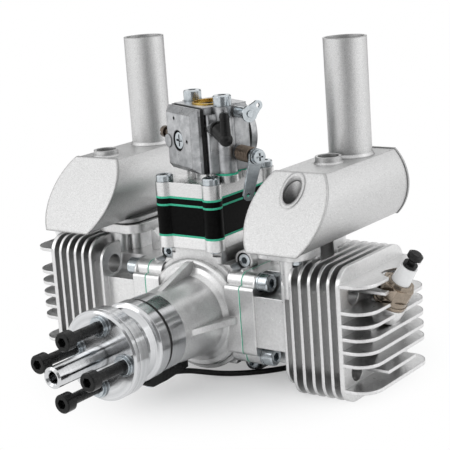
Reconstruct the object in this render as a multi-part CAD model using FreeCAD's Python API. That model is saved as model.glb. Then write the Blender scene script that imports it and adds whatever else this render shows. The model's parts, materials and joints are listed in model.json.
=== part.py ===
import FreeCAD, Part
import os
from math import cos, sin, tan, radians, pi, sqrt

# Flat twin two-stroke engine, millimetres, +Z up.
# The crankshaft turns about the Y axis, the propeller is at -Y and the cylinders lie along +X and -X.
# Everything is built about the crossing of the crank axis and the cylinder axis, and moved at the end
# so that the origin is on the crank axis in the plane of the rear mounting bosses.

V = FreeCAD.Vector
X_AXIS = V(1, 0, 0)
Y_AXIS = V(0, 1, 0)
Z_AXIS = V(0, 0, 1)

# Clearances
RUN_GAP = 0.05
BODY_GAP = 0.3
HOLE_GAP = 0.1

# Crank train
STROKE = 28.0
BORE = 37.0
ROD_LENGTH = 50.0
CROWN_HEIGHT = 12.0
SKIRT_LENGTH = 10.0
SHAFT_D = 15.0
WEB_R = 23.0
WEB_T = 5.5
MID_WEB_T = 6.0
ROD_T = 6.5
CRANKPIN_D = 10.0
WRIST_PIN_D = 8.0
WRIST_PIN_LENGTH = 30.0
SQUISH = 1.0

# Crankcase
CAVITY_R = 24.5
CASE_WALL = 3.5
CASE_END_WALL = 3.0
DECK_X = 27.5
DECK_T = 8.0
DECK_HALF_Y = 24.0
DECK_BAND_Z = 16.5
DECK_HALF_Z = 22.0
DECK_LOBE_Y = 21.3
DISC_R = 26.0
DISC_T = 3.5
NOSE_ROOT_R = 20.0
NOSE_TIP_R = 17.2
NOSE_LENGTH = 29.0
NOSE_RIB_T = 3.0
NOSE_RIB_RISE = 5.5
CASE_SCREW_X = 22.5
CASE_SCREW_Z = 25.0
CASE_BOSS_R = 4.9
CASE_BOSS_FRONT = 7.0
CASE_BOSS_REAR = 10.0
CASE_SLEEVE = 4.3

# Bearings, outer diameter and width
MAIN_BEARING_D = 35.0
MAIN_BEARING_W = 11.0
NOSE_BEARING_D = 28.0
NOSE_BEARING_W = 7.0
SEAL_D = 24.0
SEAL_W = 5.0
BEARING_LIP = 2.5
RING_R = 18.0
RING_LENGTH = 11.3
RING_EDGE = 0.6

# Propeller hub
HUB_GAP = 0.6
HUB_REAR_R = 18.5
HUB_REAR_T = 7.0
HUB_NECK_R = 15.4
HUB_NECK_LENGTH = 10.3
HUB_FRONT_R = 20.5
HUB_FRONT_T = 6.3
HUB_STEP_R = 17.6
PROP_WASHER_T = 3.2
PROP_WASHER_EDGE = 0.9
PROP_BOLT_CIRCLE_R = 14.1
PROP_BOLT_COUNT = 4
PROP_BOLT_TURN = -7.5
PROP_BOLT_REACH = 24.2
STUD_D = 9.6
STUD_ROOT_D = 8.6
STUD_REACH = 30.5
STUD_THREAD_D = 5.0
STUD_THREAD_DEPTH = 14.0
MAGNET_D = 3.0
MAGNET_DEPTH = 3.0

# Socket screws: thread diameter, head diameter, head height, socket across flats
M5 = (5.0, 8.5, 5.0, 4.0)
M4 = (4.0, 7.0, 4.0, 3.0)
WASHER_T = 1.0
SPRING_WASHER_T = 1.2
WASHER_RIM = 0.2
PROP_WASHER_RIM = 0.6

# Cylinders
GASKET_T = 0.5
FLANGE_T = 7.5
BASE_SCREW_Y = 17.0
BASE_SCREW_Z = 17.6
BASE_SCREW_REACH = 9.0
BARREL_HALF_Y = 22.5
BARREL_HALF_Z = 22.0
BARREL_CORNER = 6.0
NOTCH_R = 5.3
NOTCH_END_X = 53.0
FIN_HALF_Y = 28.0
FIN_HALF_Z = 31.0
FIN_CORNER = 9.0
FIN_T = 1.5
FIN_PITCH = 4.94
FIN_COUNT = 5
END_PLATE_X = 84.65
END_PLATE_T = 2.2
HEAD_FIN_PITCH = 5.95
HEAD_FIN_ROWS = 4
HEAD_FIN_TIP_X = 98.0
HEAD_FIN_CORNER = 10.0
DOME_R = 14.0
DOME_TIP_X = 91.0
CHAMBER_DEPTH = 6.0
ACCESS_HOLE_R = 4.6

# Exhaust
PORT_X = 59.5
PORT_Y = -7.0
PORT_R = 8.5
PORT_SCREW_SPACING = 30.6
PORT_FLANGE_X0 = 39.0
PORT_FLANGE_X1 = 66.0
PORT_FLANGE_HALF_Y = 22.0
PORT_FLANGE_Z = 37.0
PORT_FLANGE_T = 4.5
PORT_GASKET_T = 0.6
SIL_FLANGE_T = 1.6
SIL_HALF_FLAT = 13.0
SIL_HALF_WIDTH = 19.2
SIL_HEIGHT = 30.6
SIL_WALL = 1.2
SIL_PLATE_T = 1.5
SIL_RIM = 0.5
SIL_REAR_Y = 47.0
SIL_FRONT_TOP_Y = -16.8
SIL_FRONT_BOTTOM_Y = -41.8
TUBE_R = 10.1
TUBE_WALL = 1.0
TUBE_Y = 27.6
TUBE_TOP_Z = 124.7
TUBE_BEAD = 1.0
STUB_R = 6.1
STUB_WALL = 1.3
STUB_RISE = 3.2
SLOPED_R = 5.7
SLOPED_WALL = 1.3

# Spark plug
PLUG_ANGLE = 57.0
PLUG_SEAT = (92.6, 11.0)
PLUG_THREAD_D = 10.0
PLUG_THREAD_LENGTH = 12.0
PLUG_HEX = 14.0
PLUG_HEX_T = 6.0
PLUG_COLLAR_D = 15.6
PLUG_NECK_T = 2.6

# Intake stack on the crankcase
INTAKE_SCREW_X = 13.6
INTAKE_FRONT_Y = -20.4
INTAKE_REAR_Y = 22.4
INTAKE_BOSS_R = 4.6
INTAKE_RECESS = 2.2
CASE_TOP_Z = 36.8
CASE_TOP_T = 5.5
GREEN_T = 1.0
SPACER_T = 13.6
REED_PLATE_T = 2.6
ADAPTER_T = 6.6
INTAKE_DUCT_X = 18.0
INTAKE_DUCT_Y = 26.0
NECK_R = 14.0
NECK_T = 2.9
NECK_FLUTE_R = 1.6
NECK_FLUTES = 10

# Carburettor, set on the adapter and turned about the vertical
CARB_X = 4.4
CARB_Y = 0.5
CARB_TURN = -24.0
CARB_BORE_R = 6.6
CARB_HEIGHT = 31.0
CARB_HALF_U = 15.0
CARB_SIDE_U = 16.0
CARB_FRONT = 15.1
CARB_REAR = 8.6
CARB_SCREW_U = 14.2
CARB_SCREW_V = -5.0
CARB_BOSS_R = 5.0
SHAFT_STAND_U = 19.5
MOUTH_V = -3.0
MOUTH_R = 9.0
MOUTH_DEPTH = 5.0
RIM_T = 0.8
RIM_DEPTH = 1.1
RIM_RISE = 0.7
NEEDLE_U = 19.0
NEEDLE_V = -11.6
NEEDLE_Z = 14.8
NEEDLE_LENGTH = 14.0
COVER_GASKET_T = 1.0
COVER_T = 4.6
COVER_EDGE = 2.7
COVER_SCREW_U = -1.9
COVER_SCREW_Z = 15.1
PUMP_Z = 15.5
PUMP_COVER_T = 3.2
PUMP_COVER_R = 14.0
PUMP_CROWN_R = 8.0
PUMP_CROWN_RISE = 1.2
COVER_SCREW_HOLE_R = 1.6
ELBOW_V = -11.2
ELBOW_Z = 21.3
ELBOW_U = 18.8
ELBOW_REACH = 7.6
ELBOW_DROP = 3.9
BUTTERFLY_SHAFT_D = 3.2
BUTTERFLY_T = 1.0
THROTTLE_Z = 9.0
CHOKE_DEPTH = 3.0
THROTTLE_LEVER_U = 32.5
CHOKE_LEVER_U = 29.0
LEVER_T = 1.2
LEVER_HOLE_D = 2.0
THROTTLE_LEVER_LENGTH = 18.0
CHOKE_LEVER_LENGTH = 5.6
THROTTLE_STAND = -108.0
CHOKE_STAND = 37.0
THROTTLE_TILT = 8.0
CHOKE_TILT = 3.0
SPRING_WIRE_R = 0.55
SPRING_COIL_R = 3.3
SPRING_TURNS = 8

# Ignition sensor under the nose and its lead
SENSOR_WIDTH = 10.0
SENSOR_LENGTH = 31.0
SENSOR_HEIGHT = 4.6
SENSOR_OVERHANG = 4.4
LEAD_D = 2.6
COIL_MEAN_R = 15.0
COIL_X = -8.0
COIL_Y = 72.0
COIL_HEIGHT = 5.6

# Rear cover with the mounting bosses
REAR_COVER_T = 4.0
REAR_COVER_HALF = 26.5
MOUNT_HALF_SPACING = 20.0
MOUNT_BOSS_R = 6.5
MOUNT_BOSS_HEIGHT = 4.0
MOUNT_THREAD_D = 5.0
MOUNT_THREAD_DEPTH = 7.0
COVER_SCREW_WALL = 1.2

# Values worked out from the sizes above
CASE_R = CAVITY_R + CASE_WALL
WEB_FACE = MID_WEB_T / 2 + 2 * 0.5 + ROD_T
CAVITY_HALF = WEB_FACE + WEB_T + 0.5
CASE_HALF = CAVITY_HALF + CASE_END_WALL
DISC_FACE = -(CASE_HALF + DISC_T)
NOSE_FACE = DISC_FACE - NOSE_LENGTH
RING_FACE = NOSE_FACE - RING_LENGTH
HUB_REAR = RING_FACE - HUB_GAP
HUB_NECK_REAR = HUB_REAR - HUB_REAR_T
HUB_NECK_FRONT = HUB_NECK_REAR - HUB_NECK_LENGTH
HUB_FACE = HUB_NECK_FRONT - HUB_FRONT_T
WASHER_FACE = HUB_FACE - PROP_WASHER_T
PISTON_PIN_X = STROKE / 2 + ROD_LENGTH
ROD_Y = -(MID_WEB_T / 2 + 0.5 + ROD_T / 2)
BASE_X = DECK_X + GASKET_T
FLANGE_X = BASE_X + FLANGE_T
BORE_TOP_X = PISTON_PIN_X + CROWN_HEIGHT + SQUISH
SIL_BOTTOM_Z = PORT_FLANGE_Z + PORT_GASKET_T + SIL_FLANGE_T
SIL_TOP_Z = SIL_BOTTOM_Z + SIL_HEIGHT
SIL_MID_Z = SIL_BOTTOM_Z + SIL_HEIGHT / 2
SIL_SLOPE = (SIL_FRONT_TOP_Y - SIL_FRONT_BOTTOM_Y) / SIL_HEIGHT
SPACER_Z = CASE_TOP_Z + GREEN_T
REED_Z = SPACER_Z + SPACER_T + GREEN_T
ADAPTER_Z = REED_Z + REED_PLATE_T + GREEN_T
ADAPTER_TOP_Z = ADAPTER_Z + ADAPTER_T
NECK_TOP_Z = ADAPTER_TOP_Z + NECK_T
CARB_Z = NECK_TOP_Z + GREEN_T
CARB_TOP_Z = CARB_Z + CARB_HEIGHT
CHOKE_Z = CARB_HEIGHT - CHOKE_DEPTH
REAR_BEARING_END = CAVITY_HALF + MAIN_BEARING_W
COVER_FACE_Y = REAR_BEARING_END + 0.5
COVER_SCREW_R = MAIN_BEARING_D / 2 + M4[0] / 2 + COVER_SCREW_WALL
MOUNT_FACE_Y = COVER_FACE_Y + REAR_COVER_T + MOUNT_BOSS_HEIGHT
FLOOR_Z = -FIN_HALF_Z


# Basic solids

def box(x0, x1, y0, y1, z0, z1):
    return Part.makeBox(x1 - x0, y1 - y0, z1 - z0, V(x0, y0, z0))


def cyl_x(radius, x0, x1, y=0.0, z=0.0):
    return Part.makeCylinder(radius, x1 - x0, V(x0, y, z), X_AXIS)


def cyl_y(radius, y0, y1, x=0.0, z=0.0):
    return Part.makeCylinder(radius, y1 - y0, V(x, y0, z), Y_AXIS)


def cyl_z(radius, z0, z1, x=0.0, y=0.0):
    return Part.makeCylinder(radius, z1 - z0, V(x, y, z0), Z_AXIS)


def ring_y(outer, inner, y0, y1, x=0.0, z=0.0):
    return cyl_y(outer, y0, y1, x, z).cut(cyl_y(inner, y0 - 1, y1 + 1, x, z))


def fuse(solids):
    first = solids[0]
    return first.fuse(solids[1:]).removeSplitter() if len(solids) > 1 else first


def cut(solid, tools):
    return solid.cut(Part.makeCompound(tools)) if tools else solid


def prism(points, along):
    wire = Part.makePolygon([V(*p) for p in points] + [V(*points[0])])
    return Part.Face(wire).extrude(V(*along))


def rounded_outline(u0, u1, v0, v1, radius):
    """Corner points and arc middles of a rounded rectangle, as (start, end, middle or None)."""
    k = radius * (1 - sqrt(0.5))
    r = radius
    return [((u0 + r, v0), (u1 - r, v0), None), ((u1 - r, v0), (u1, v0 + r), (u1 - k, v0 + k)),
            ((u1, v0 + r), (u1, v1 - r), None), ((u1, v1 - r), (u1 - r, v1), (u1 - k, v1 - k)),
            ((u1 - r, v1), (u0 + r, v1), None), ((u0 + r, v1), (u0, v1 - r), (u0 + k, v1 - k)),
            ((u0, v1 - r), (u0, v0 + r), None), ((u0, v0 + r), (u0 + r, v0), (u0 + k, v0 + k))]


def rounded_prism(axis, a0, a1, u0, u1, v0, v1, radius):
    """Rounded rectangle extruded along an axis; u and v are the other two axes in x, y, z order."""
    place = {"x": lambda u, v: V(a0, u, v), "y": lambda u, v: V(u, a0, v), "z": lambda u, v: V(u, v, a0)}[axis]
    along = {"x": V(a1 - a0, 0, 0), "y": V(0, a1 - a0, 0), "z": V(0, 0, a1 - a0)}[axis]
    edges = []
    for start, end, middle in rounded_outline(u0, u1, v0, v1, radius):
        if middle is None:
            if abs(start[0] - end[0]) + abs(start[1] - end[1]) > 1e-6:
                edges.append(Part.makeLine(place(*start), place(*end)))
        else:
            edges.append(Part.Arc(place(*start), place(*middle), place(*end)).toShape())
    return Part.Face(Part.Wire(edges)).extrude(along)


def revolve_y(profile):
    """Solid of revolution about Y from (radius, y) points."""
    wire = Part.makePolygon([V(r, y, 0) for r, y in profile] + [V(profile[0][0], profile[0][1], 0)])
    return Part.Face(wire).revolve(V(0, 0, 0), Y_AXIS, 360)


def hexagon_prism(across, height, at, direction):
    """Hexagonal prism of a width across flats, standing at a point along a direction."""
    corner = across / sqrt(3)
    points = [V(corner * cos(radians(60 * k)), corner * sin(radians(60 * k)), 0) for k in range(7)]
    solid = Part.Face(Part.makePolygon(points)).extrude(V(0, 0, height))
    turn = FreeCAD.Rotation(Z_AXIS, direction)
    solid.Placement = FreeCAD.Placement(at, turn)
    return solid


def socket_screw(size, reach, at, direction):
    """Socket head cap screw; `at` is the centre of the seat and `direction` points out of the head."""
    thread, head, height, socket = size
    body = Part.makeCylinder(head / 2, height, at, direction)
    shank = Part.makeCylinder(thread / 2, reach, at - direction * reach, direction)
    recess = hexagon_prism(socket, height * 0.6, at + direction * (height * 0.45), direction)
    rim = Part.makeCone(head / 2, head / 2 - 0.5, 0.5, at + direction * (height - 0.5), direction)
    shoulder = Part.makeCylinder(head / 2, height - 0.5, at, direction)
    return shoulder.fuse([rim, shank]).removeSplitter().cut(recess) if body.Volume else body


def washer(size, thickness, rim, at, direction):
    ring = Part.makeCylinder(size[1] / 2 + rim, thickness, at, direction)
    return ring.cut(Part.makeCylinder(size[0] / 2 + HOLE_GAP, thickness, at, direction))


def turned(shape):
    """The same piece on the other cylinder: half a turn about the vertical."""
    copy = shape.copy()
    copy.rotate(V(0, 0, 0), Z_AXIS, 180)
    return copy


def mirrored(shape):
    return shape.mirror(V(0, 0, 0), X_AXIS)


def group(solids):
    return Part.makeCompound(solids)


# Crankcase

def deck_profile(x0, x1):
    band = rounded_prism("x", x0, x1, -DECK_HALF_Y, DECK_HALF_Y, -DECK_BAND_Z, DECK_BAND_Z, 2.0)
    lobes = rounded_prism("x", x0, x1, -DECK_LOBE_Y, DECK_LOBE_Y, -DECK_HALF_Z, DECK_HALF_Z, 4.5)
    return fuse([band, lobes])


def intake_plate(z0, z1):
    """Plate outline of the intake stack: four round lobes joined by recessed sides."""
    side = INTAKE_SCREW_X + INTAKE_RECESS
    front = INTAKE_FRONT_Y - INTAKE_RECESS
    rear = INTAKE_REAR_Y + INTAKE_RECESS
    lobes = [cyl_z(INTAKE_BOSS_R, z0, z1, x, y)
             for x in (-INTAKE_SCREW_X, INTAKE_SCREW_X) for y in (INTAKE_FRONT_Y, INTAKE_REAR_Y)]
    return fuse([box(-side, side, front, rear, z0, z1)] + lobes)


def intake_holes(z0, z1, radius):
    return [cyl_z(radius, z0, z1, x, y)
            for x in (-INTAKE_SCREW_X, INTAKE_SCREW_X) for y in (INTAKE_FRONT_Y, INTAKE_REAR_Y)]


def intake_duct(z0, z1):
    middle = (INTAKE_FRONT_Y + INTAKE_REAR_Y) / 2
    return rounded_prism("z", z0, z1, -INTAKE_DUCT_X / 2, INTAKE_DUCT_X / 2,
                         middle - INTAKE_DUCT_Y / 2, middle + INTAKE_DUCT_Y / 2, 3.0)


def case_screw_places():
    return [(sx * CASE_SCREW_X, sz * CASE_SCREW_Z) for sx in (-1, 1) for sz in (-1, 1)]


def nose_rib(angle):
    """Tapered web between the disc and the nose tube, turned about the crank axis."""
    reach = NOSE_ROOT_R + NOSE_RIB_RISE
    points = [(-NOSE_RIB_T / 2, DISC_FACE, NOSE_TIP_R - 3), (-NOSE_RIB_T / 2, DISC_FACE, reach),
              (-NOSE_RIB_T / 2, DISC_FACE - 2.0, reach), (-NOSE_RIB_T / 2, NOSE_FACE + 3.5, NOSE_TIP_R),
              (-NOSE_RIB_T / 2, NOSE_FACE + 3.5, NOSE_TIP_R - 3)]
    rib = prism(points, (NOSE_RIB_T, 0, 0))
    rib.rotate(V(0, 0, 0), Y_AXIS, angle)
    return rib


def nose_cone(inner_r=0.0):
    return revolve_y([(inner_r, NOSE_FACE), (NOSE_TIP_R, NOSE_FACE), (NOSE_ROOT_R, DISC_FACE + 2),
                      (inner_r, DISC_FACE + 2)])


def crankcase_solid():
    top_width = INTAKE_SCREW_X + 1.2
    solids = [cyl_y(CASE_R, -CASE_HALF, CASE_HALF)]
    solids.append(rounded_prism("y", -CASE_HALF + 2, CASE_HALF - 2, -DECK_X + 1, DECK_X - 1,
                                -CASE_R + 4, CASE_R - 4, 3.0))
    for side in (-1, 1):
        inner, outer = sorted((side * (DECK_X - DECK_T), side * DECK_X))
        solids.append(deck_profile(inner, outer))
    solids.append(rounded_prism("z", 0, CASE_TOP_Z - CASE_TOP_T + 1, -top_width, top_width,
                                INTAKE_FRONT_Y + 0.6, INTAKE_REAR_Y - 0.6, 3.0))
    solids.append(intake_plate(CASE_TOP_Z - CASE_TOP_T, CASE_TOP_Z))
    for x, z in case_screw_places():
        sleeve = CASE_SLEEVE if z > 0 else 0
        solids.append(cyl_y(CASE_BOSS_R, -CASE_BOSS_FRONT - sleeve, CASE_BOSS_REAR, x, z))
        inner, outer = sorted((x, x - (CASE_BOSS_R if x > 0 else -CASE_BOSS_R) * 1.6))
        low, high = sorted((z, z - (1 if z > 0 else -1) * CASE_BOSS_R * 2))
        solids.append(box(inner, outer, -CASE_BOSS_FRONT, CASE_BOSS_REAR, low, high))
        left, right = sorted((x - (1 if x > 0 else -1) * CASE_BOSS_R, x + (1 if x > 0 else -1) * CASE_BOSS_R * 0.98))
        low, high = sorted((z, z - (1 if z > 0 else -1) * 6.0))
        solids.append(box(left, right, -CASE_BOSS_FRONT, CASE_BOSS_REAR, low, high))
    solids.append(revolve_y([(0, DISC_FACE), (DISC_R - 1, DISC_FACE), (DISC_R, DISC_FACE + 1),
                             (DISC_R, 0), (0, 0)]))
    solids.append(nose_cone())
    solids.append(revolve_y([(0, DISC_FACE), (0, DISC_FACE - 3.5), (NOSE_ROOT_R - 0.5, DISC_FACE - 3.5),
                             (NOSE_ROOT_R + 1.0, DISC_FACE - 1.2), (NOSE_ROOT_R + 3.0, DISC_FACE)]))
    solids += [nose_rib(angle) for angle in (0, 90, 270)]
    solids.append(cyl_y(CASE_R - 4, 0, COVER_FACE_Y))
    solids += [cyl_y(5.0, 0, COVER_FACE_Y, COVER_SCREW_R * cos(radians(a)), COVER_SCREW_R * sin(radians(a)))
               for a in (0, 90, 180, 270)]
    whole = fuse(solids)
    tools = [cyl_y(CAVITY_R, -CAVITY_HALF, CAVITY_HALF)]
    tools += [box(DECK_X, DECK_X + 9, -40, 40, -40, 40), box(-DECK_X - 9, -DECK_X, -40, 40, -40, 40)]
    tools.append(cyl_x(BORE / 2 + 0.6, -DECK_X - 1, DECK_X + 1))
    tools.append(intake_duct(CAVITY_R - 8, CASE_TOP_Z + 1))
    tools.append(cyl_y(MAIN_BEARING_D / 2, -CAVITY_HALF - MAIN_BEARING_W, -CAVITY_HALF + 1))
    tools.append(cyl_y(MAIN_BEARING_D / 2, CAVITY_HALF - 1, COVER_FACE_Y + 1))
    tools.append(cyl_y(SHAFT_D / 2 + 2.0, NOSE_FACE - 1, 0))
    tools.append(cyl_y(NOSE_BEARING_D / 2, NOSE_FACE - 1, NOSE_FACE + NOSE_BEARING_W))
    for x in (-1, 1):
        for y in (-BASE_SCREW_Y, BASE_SCREW_Y):
            for z in (-BASE_SCREW_Z, BASE_SCREW_Z):
                low, high = sorted((x * (DECK_X - BASE_SCREW_REACH), x * (DECK_X + 1)))
                tools.append(cyl_x(M5[0] / 2 + HOLE_GAP, low, high, y, z))
    for x, z in case_screw_places():
        tools.append(cyl_y(M4[0] / 2 + HOLE_GAP, -CASE_BOSS_FRONT - 1, CASE_BOSS_REAR - 2, x, z))
        tools.append(cyl_y(M4[1] / 2 + BODY_GAP, DISC_FACE - 1, -CASE_BOSS_FRONT, x, z))
    tools += intake_holes(CASE_TOP_Z - 9, CASE_TOP_Z + 1, M5[0] / 2 + HOLE_GAP)
    tools += [cyl_y(M4[0] / 2 + HOLE_GAP, COVER_FACE_Y - 8, COVER_FACE_Y + 1,
                    COVER_SCREW_R * cos(radians(a)), COVER_SCREW_R * sin(radians(a))) for a in (0, 90, 180, 270)]
    return cut(whole, tools)


def crankcase_halves():
    whole = crankcase_solid()
    far = 200.0
    front = whole.common(box(-far, far, -far, 0, -far, far))
    rear = whole.common(box(-far, far, 0, far, -far, far))
    return front, rear


def case_screws():
    screws = [socket_screw(M4, CASE_BOSS_FRONT + CASE_BOSS_REAR - 3, V(x, -CASE_BOSS_FRONT, z), -Y_AXIS)
              for x, z in case_screw_places()]
    for angle in (0, 90, 180, 270):
        at = V(COVER_SCREW_R * cos(radians(angle)), COVER_FACE_Y + REAR_COVER_T, COVER_SCREW_R * sin(radians(angle)))
        screws.append(socket_screw(M4, REAR_COVER_T + 7, at, Y_AXIS))
    return group(screws)


def bearing(outer, width, y0):
    """Deep groove ball bearing drawn as one ring with a groove on each face."""
    radius = outer / 2
    inner = SHAFT_D / 2 + RUN_GAP
    groove_in = inner + (radius - inner) * 0.3
    groove_out = inner + (radius - inner) * 0.7
    ring = ring_y(radius, inner, y0, y0 + width)
    for start in (y0 - 1, y0 + width - 0.8):
        ring = ring.cut(ring_y(groove_out, groove_in, start, start + 1.8))
    return ring


def rear_cover():
    y0 = COVER_FACE_Y
    y1 = y0 + REAR_COVER_T
    half = REAR_COVER_HALF
    solids = [rounded_prism("y", y0, y1, -half, half, -half, half, MOUNT_BOSS_R)]
    places = [(sx * MOUNT_HALF_SPACING, sz * MOUNT_HALF_SPACING) for sx in (-1, 1) for sz in (-1, 1)]
    solids += [cyl_y(MOUNT_BOSS_R, y0, MOUNT_FACE_Y, x, z) for x, z in places]
    solids.append(cyl_y(MAIN_BEARING_D / 2 - BEARING_LIP, y1 - 1, y1 + 1.5))
    plate = fuse(solids)
    tools = [cyl_y(MOUNT_THREAD_D / 2, MOUNT_FACE_Y - MOUNT_THREAD_DEPTH, MOUNT_FACE_Y + 1, x, z) for x, z in places]
    tools += [cyl_y(M4[0] / 2 + HOLE_GAP, y0 - 1, y1 + 1, COVER_SCREW_R * cos(radians(a)),
                    COVER_SCREW_R * sin(radians(a))) for a in (0, 90, 180, 270)]
    tools.append(cyl_y(SHAFT_D / 2 + 2, y0 - 1, y0 + 1.5))
    return cut(plate, tools)


def nose_ring():
    e = RING_EDGE
    ring = revolve_y([(0, RING_FACE), (RING_R - e, RING_FACE), (RING_R, RING_FACE + e), (RING_R, NOSE_FACE - e),
                      (RING_R - e, NOSE_FACE), (0, NOSE_FACE)])
    seal_y = RING_FACE + 1.5
    return cut(ring, [cyl_y(SHAFT_D / 2 + 1.5, RING_FACE - 1, NOSE_FACE + 1),
                      cyl_y(SEAL_D / 2, seal_y, seal_y + SEAL_W),
                      cyl_y(SEAL_D / 2 - 1, seal_y, NOSE_FACE + 1)])


def shaft_seal():
    seal_y = RING_FACE + 1.5
    return ring_y(SEAL_D / 2, SHAFT_D / 2 + RUN_GAP, seal_y, seal_y + SEAL_W)


# Crank train

def crankshaft():
    tail = REAR_BEARING_END + 1.0
    front = fuse([cyl_y(SHAFT_D / 2, HUB_NECK_FRONT, -WEB_FACE), cyl_y(WEB_R, -WEB_FACE - WEB_T, -WEB_FACE)])
    middle = cyl_y(WEB_R, -MID_WEB_T / 2, MID_WEB_T / 2)
    rear = fuse([cyl_y(WEB_R, WEB_FACE, WEB_FACE + WEB_T), cyl_y(SHAFT_D / 2, WEB_FACE, tail)])
    return group([front, middle, rear])


def rod_right():
    pin_x = STROKE / 2
    big_r = CRANKPIN_D / 2 + 3.5
    small_r = WRIST_PIN_D / 2 + 2.5
    y0 = ROD_Y - ROD_T / 2
    y1 = ROD_Y + ROD_T / 2
    shank = prism([(pin_x, ROD_Y - 2.5, -5.0), (PISTON_PIN_X, ROD_Y - 2.5, -3.8),
                   (PISTON_PIN_X, ROD_Y - 2.5, 3.8), (pin_x, ROD_Y - 2.5, 5.0)], (0, 5.0, 0))
    body = fuse([cyl_y(big_r, y0, y1, pin_x), cyl_y(small_r, y0, y1, PISTON_PIN_X), shank])
    start = pin_x + big_r + 2
    end = PISTON_PIN_X - small_r - 2
    recess = [box(start, end, ROD_Y - 3, ROD_Y - 1, -2.2, 2.2), box(start, end, ROD_Y + 1, ROD_Y + 3, -2.2, 2.2)]
    bores = [cyl_y(CRANKPIN_D / 2 + RUN_GAP, y0 - 1, y1 + 1, pin_x),
             cyl_y(WRIST_PIN_D / 2 + RUN_GAP, y0 - 1, y1 + 1, PISTON_PIN_X)]
    return cut(body, recess + bores)


def crankpin_right():
    slack = 0.5 - BODY_GAP
    return cyl_y(CRANKPIN_D / 2, ROD_Y - ROD_T / 2 - slack, ROD_Y + ROD_T / 2 + slack, STROKE / 2)


def wrist_pin_right():
    half = WRIST_PIN_LENGTH / 2
    return ring_y(WRIST_PIN_D / 2, WRIST_PIN_D / 2 - 1.8, -half, half, PISTON_PIN_X)


def piston_right():
    radius = BORE / 2 - HOLE_GAP / 2
    skirt = PISTON_PIN_X - SKIRT_LENGTH
    crown = PISTON_PIN_X + CROWN_HEIGHT
    shell = cut(cyl_x(radius, skirt, crown), [cyl_x(radius - 2.8, skirt - 1, crown - 4.0)])
    edge = ROD_T / 2 + 0.6
    bosses = fuse([cyl_y(WRIST_PIN_D / 2 + 3, -radius + 1.5, ROD_Y - edge, PISTON_PIN_X),
                   cyl_y(WRIST_PIN_D / 2 + 3, ROD_Y + edge, radius - 1.5, PISTON_PIN_X)])
    bosses = bosses.common(cyl_x(radius - 0.5, skirt, crown))
    groove_x = crown - 3.2
    groove = cyl_x(radius + 1, groove_x, groove_x + 1.2).cut(cyl_x(radius - 1.7, groove_x, groove_x + 1.2))
    body = fuse([shell, bosses])
    body = cut(body, [cyl_y(WRIST_PIN_D / 2 + 0.02, -radius - 1, radius + 1, PISTON_PIN_X), groove])
    ring_r = BORE / 2 - RUN_GAP / 2
    ring = cyl_x(ring_r, groove_x + 0.05, groove_x + 1.15).cut(cyl_x(radius - 1.5, groove_x - 1, groove_x + 3))
    ring = ring.cut(box(groove_x - 1, groove_x + 3, -0.3, 0.3, 0, radius + 2))
    return group([body, ring])


# Hub and propeller fastening

def prop_bolt_places():
    step = 360.0 / PROP_BOLT_COUNT
    angles = [radians(PROP_BOLT_TURN + step * k) for k in range(PROP_BOLT_COUNT)]
    return [(PROP_BOLT_CIRCLE_R * cos(a), PROP_BOLT_CIRCLE_R * sin(a)) for a in angles]


def prop_hub():
    neck_mid = (HUB_NECK_REAR + HUB_NECK_FRONT) / 2
    profile = [(0, HUB_REAR), (HUB_REAR_R - 0.5, HUB_REAR), (HUB_REAR_R, HUB_REAR - 0.5),
               (HUB_REAR_R, HUB_NECK_REAR + 0.8), (HUB_REAR_R - 0.8, HUB_NECK_REAR),
               (HUB_NECK_R + 1.2, HUB_NECK_REAR - 0.6), (HUB_NECK_R, neck_mid + 1.5), (HUB_NECK_R, neck_mid),
               (HUB_NECK_R + 0.7, neck_mid - 2.0), (HUB_STEP_R, HUB_NECK_FRONT + 1.6),
               (HUB_STEP_R, HUB_NECK_FRONT), (HUB_FRONT_R - 0.6, HUB_NECK_FRONT), (HUB_FRONT_R, HUB_NECK_FRONT - 0.6),
               (HUB_FRONT_R, HUB_FACE + 0.3), (HUB_FRONT_R - 0.3, HUB_FACE), (0, HUB_FACE)]
    hub = revolve_y(profile)
    tools = [cyl_y(SHAFT_D / 2, HUB_NECK_FRONT, HUB_REAR + 1), cyl_y(STUD_ROOT_D / 2, HUB_FACE - 1, HUB_NECK_FRONT - 1.5)]
    tools += [cyl_y(M5[0] / 2 + RUN_GAP, HUB_FACE - 1, HUB_NECK_FRONT + 4.5, x, z) for x, z in prop_bolt_places()]
    middle = HUB_REAR - HUB_REAR_T / 2
    tools.append(cyl_z(MAGNET_D / 2, -HUB_REAR_R - 1, -HUB_REAR_R + MAGNET_DEPTH, 0, middle))
    magnet = cyl_z(MAGNET_D / 2, -HUB_REAR_R + 0.3, -HUB_REAR_R + MAGNET_DEPTH, 0, middle)
    return group([cut(hub, tools), magnet])


def prop_washer():
    e = PROP_WASHER_EDGE
    disc = revolve_y([(0, HUB_FACE), (HUB_FRONT_R - 0.3, HUB_FACE), (HUB_FRONT_R, HUB_FACE - 0.3),
                      (HUB_FRONT_R, WASHER_FACE + e), (HUB_FRONT_R - e, WASHER_FACE), (0, WASHER_FACE)])
    tools = [cyl_y(M5[0] / 2 + 0.25, WASHER_FACE - 1, HUB_FACE + 1, x, z) for x, z in prop_bolt_places()]
    tools.append(cyl_y(STUD_ROOT_D / 2 + 0.05, WASHER_FACE - 1, HUB_FACE + 1))
    return cut(disc, tools)


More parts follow.
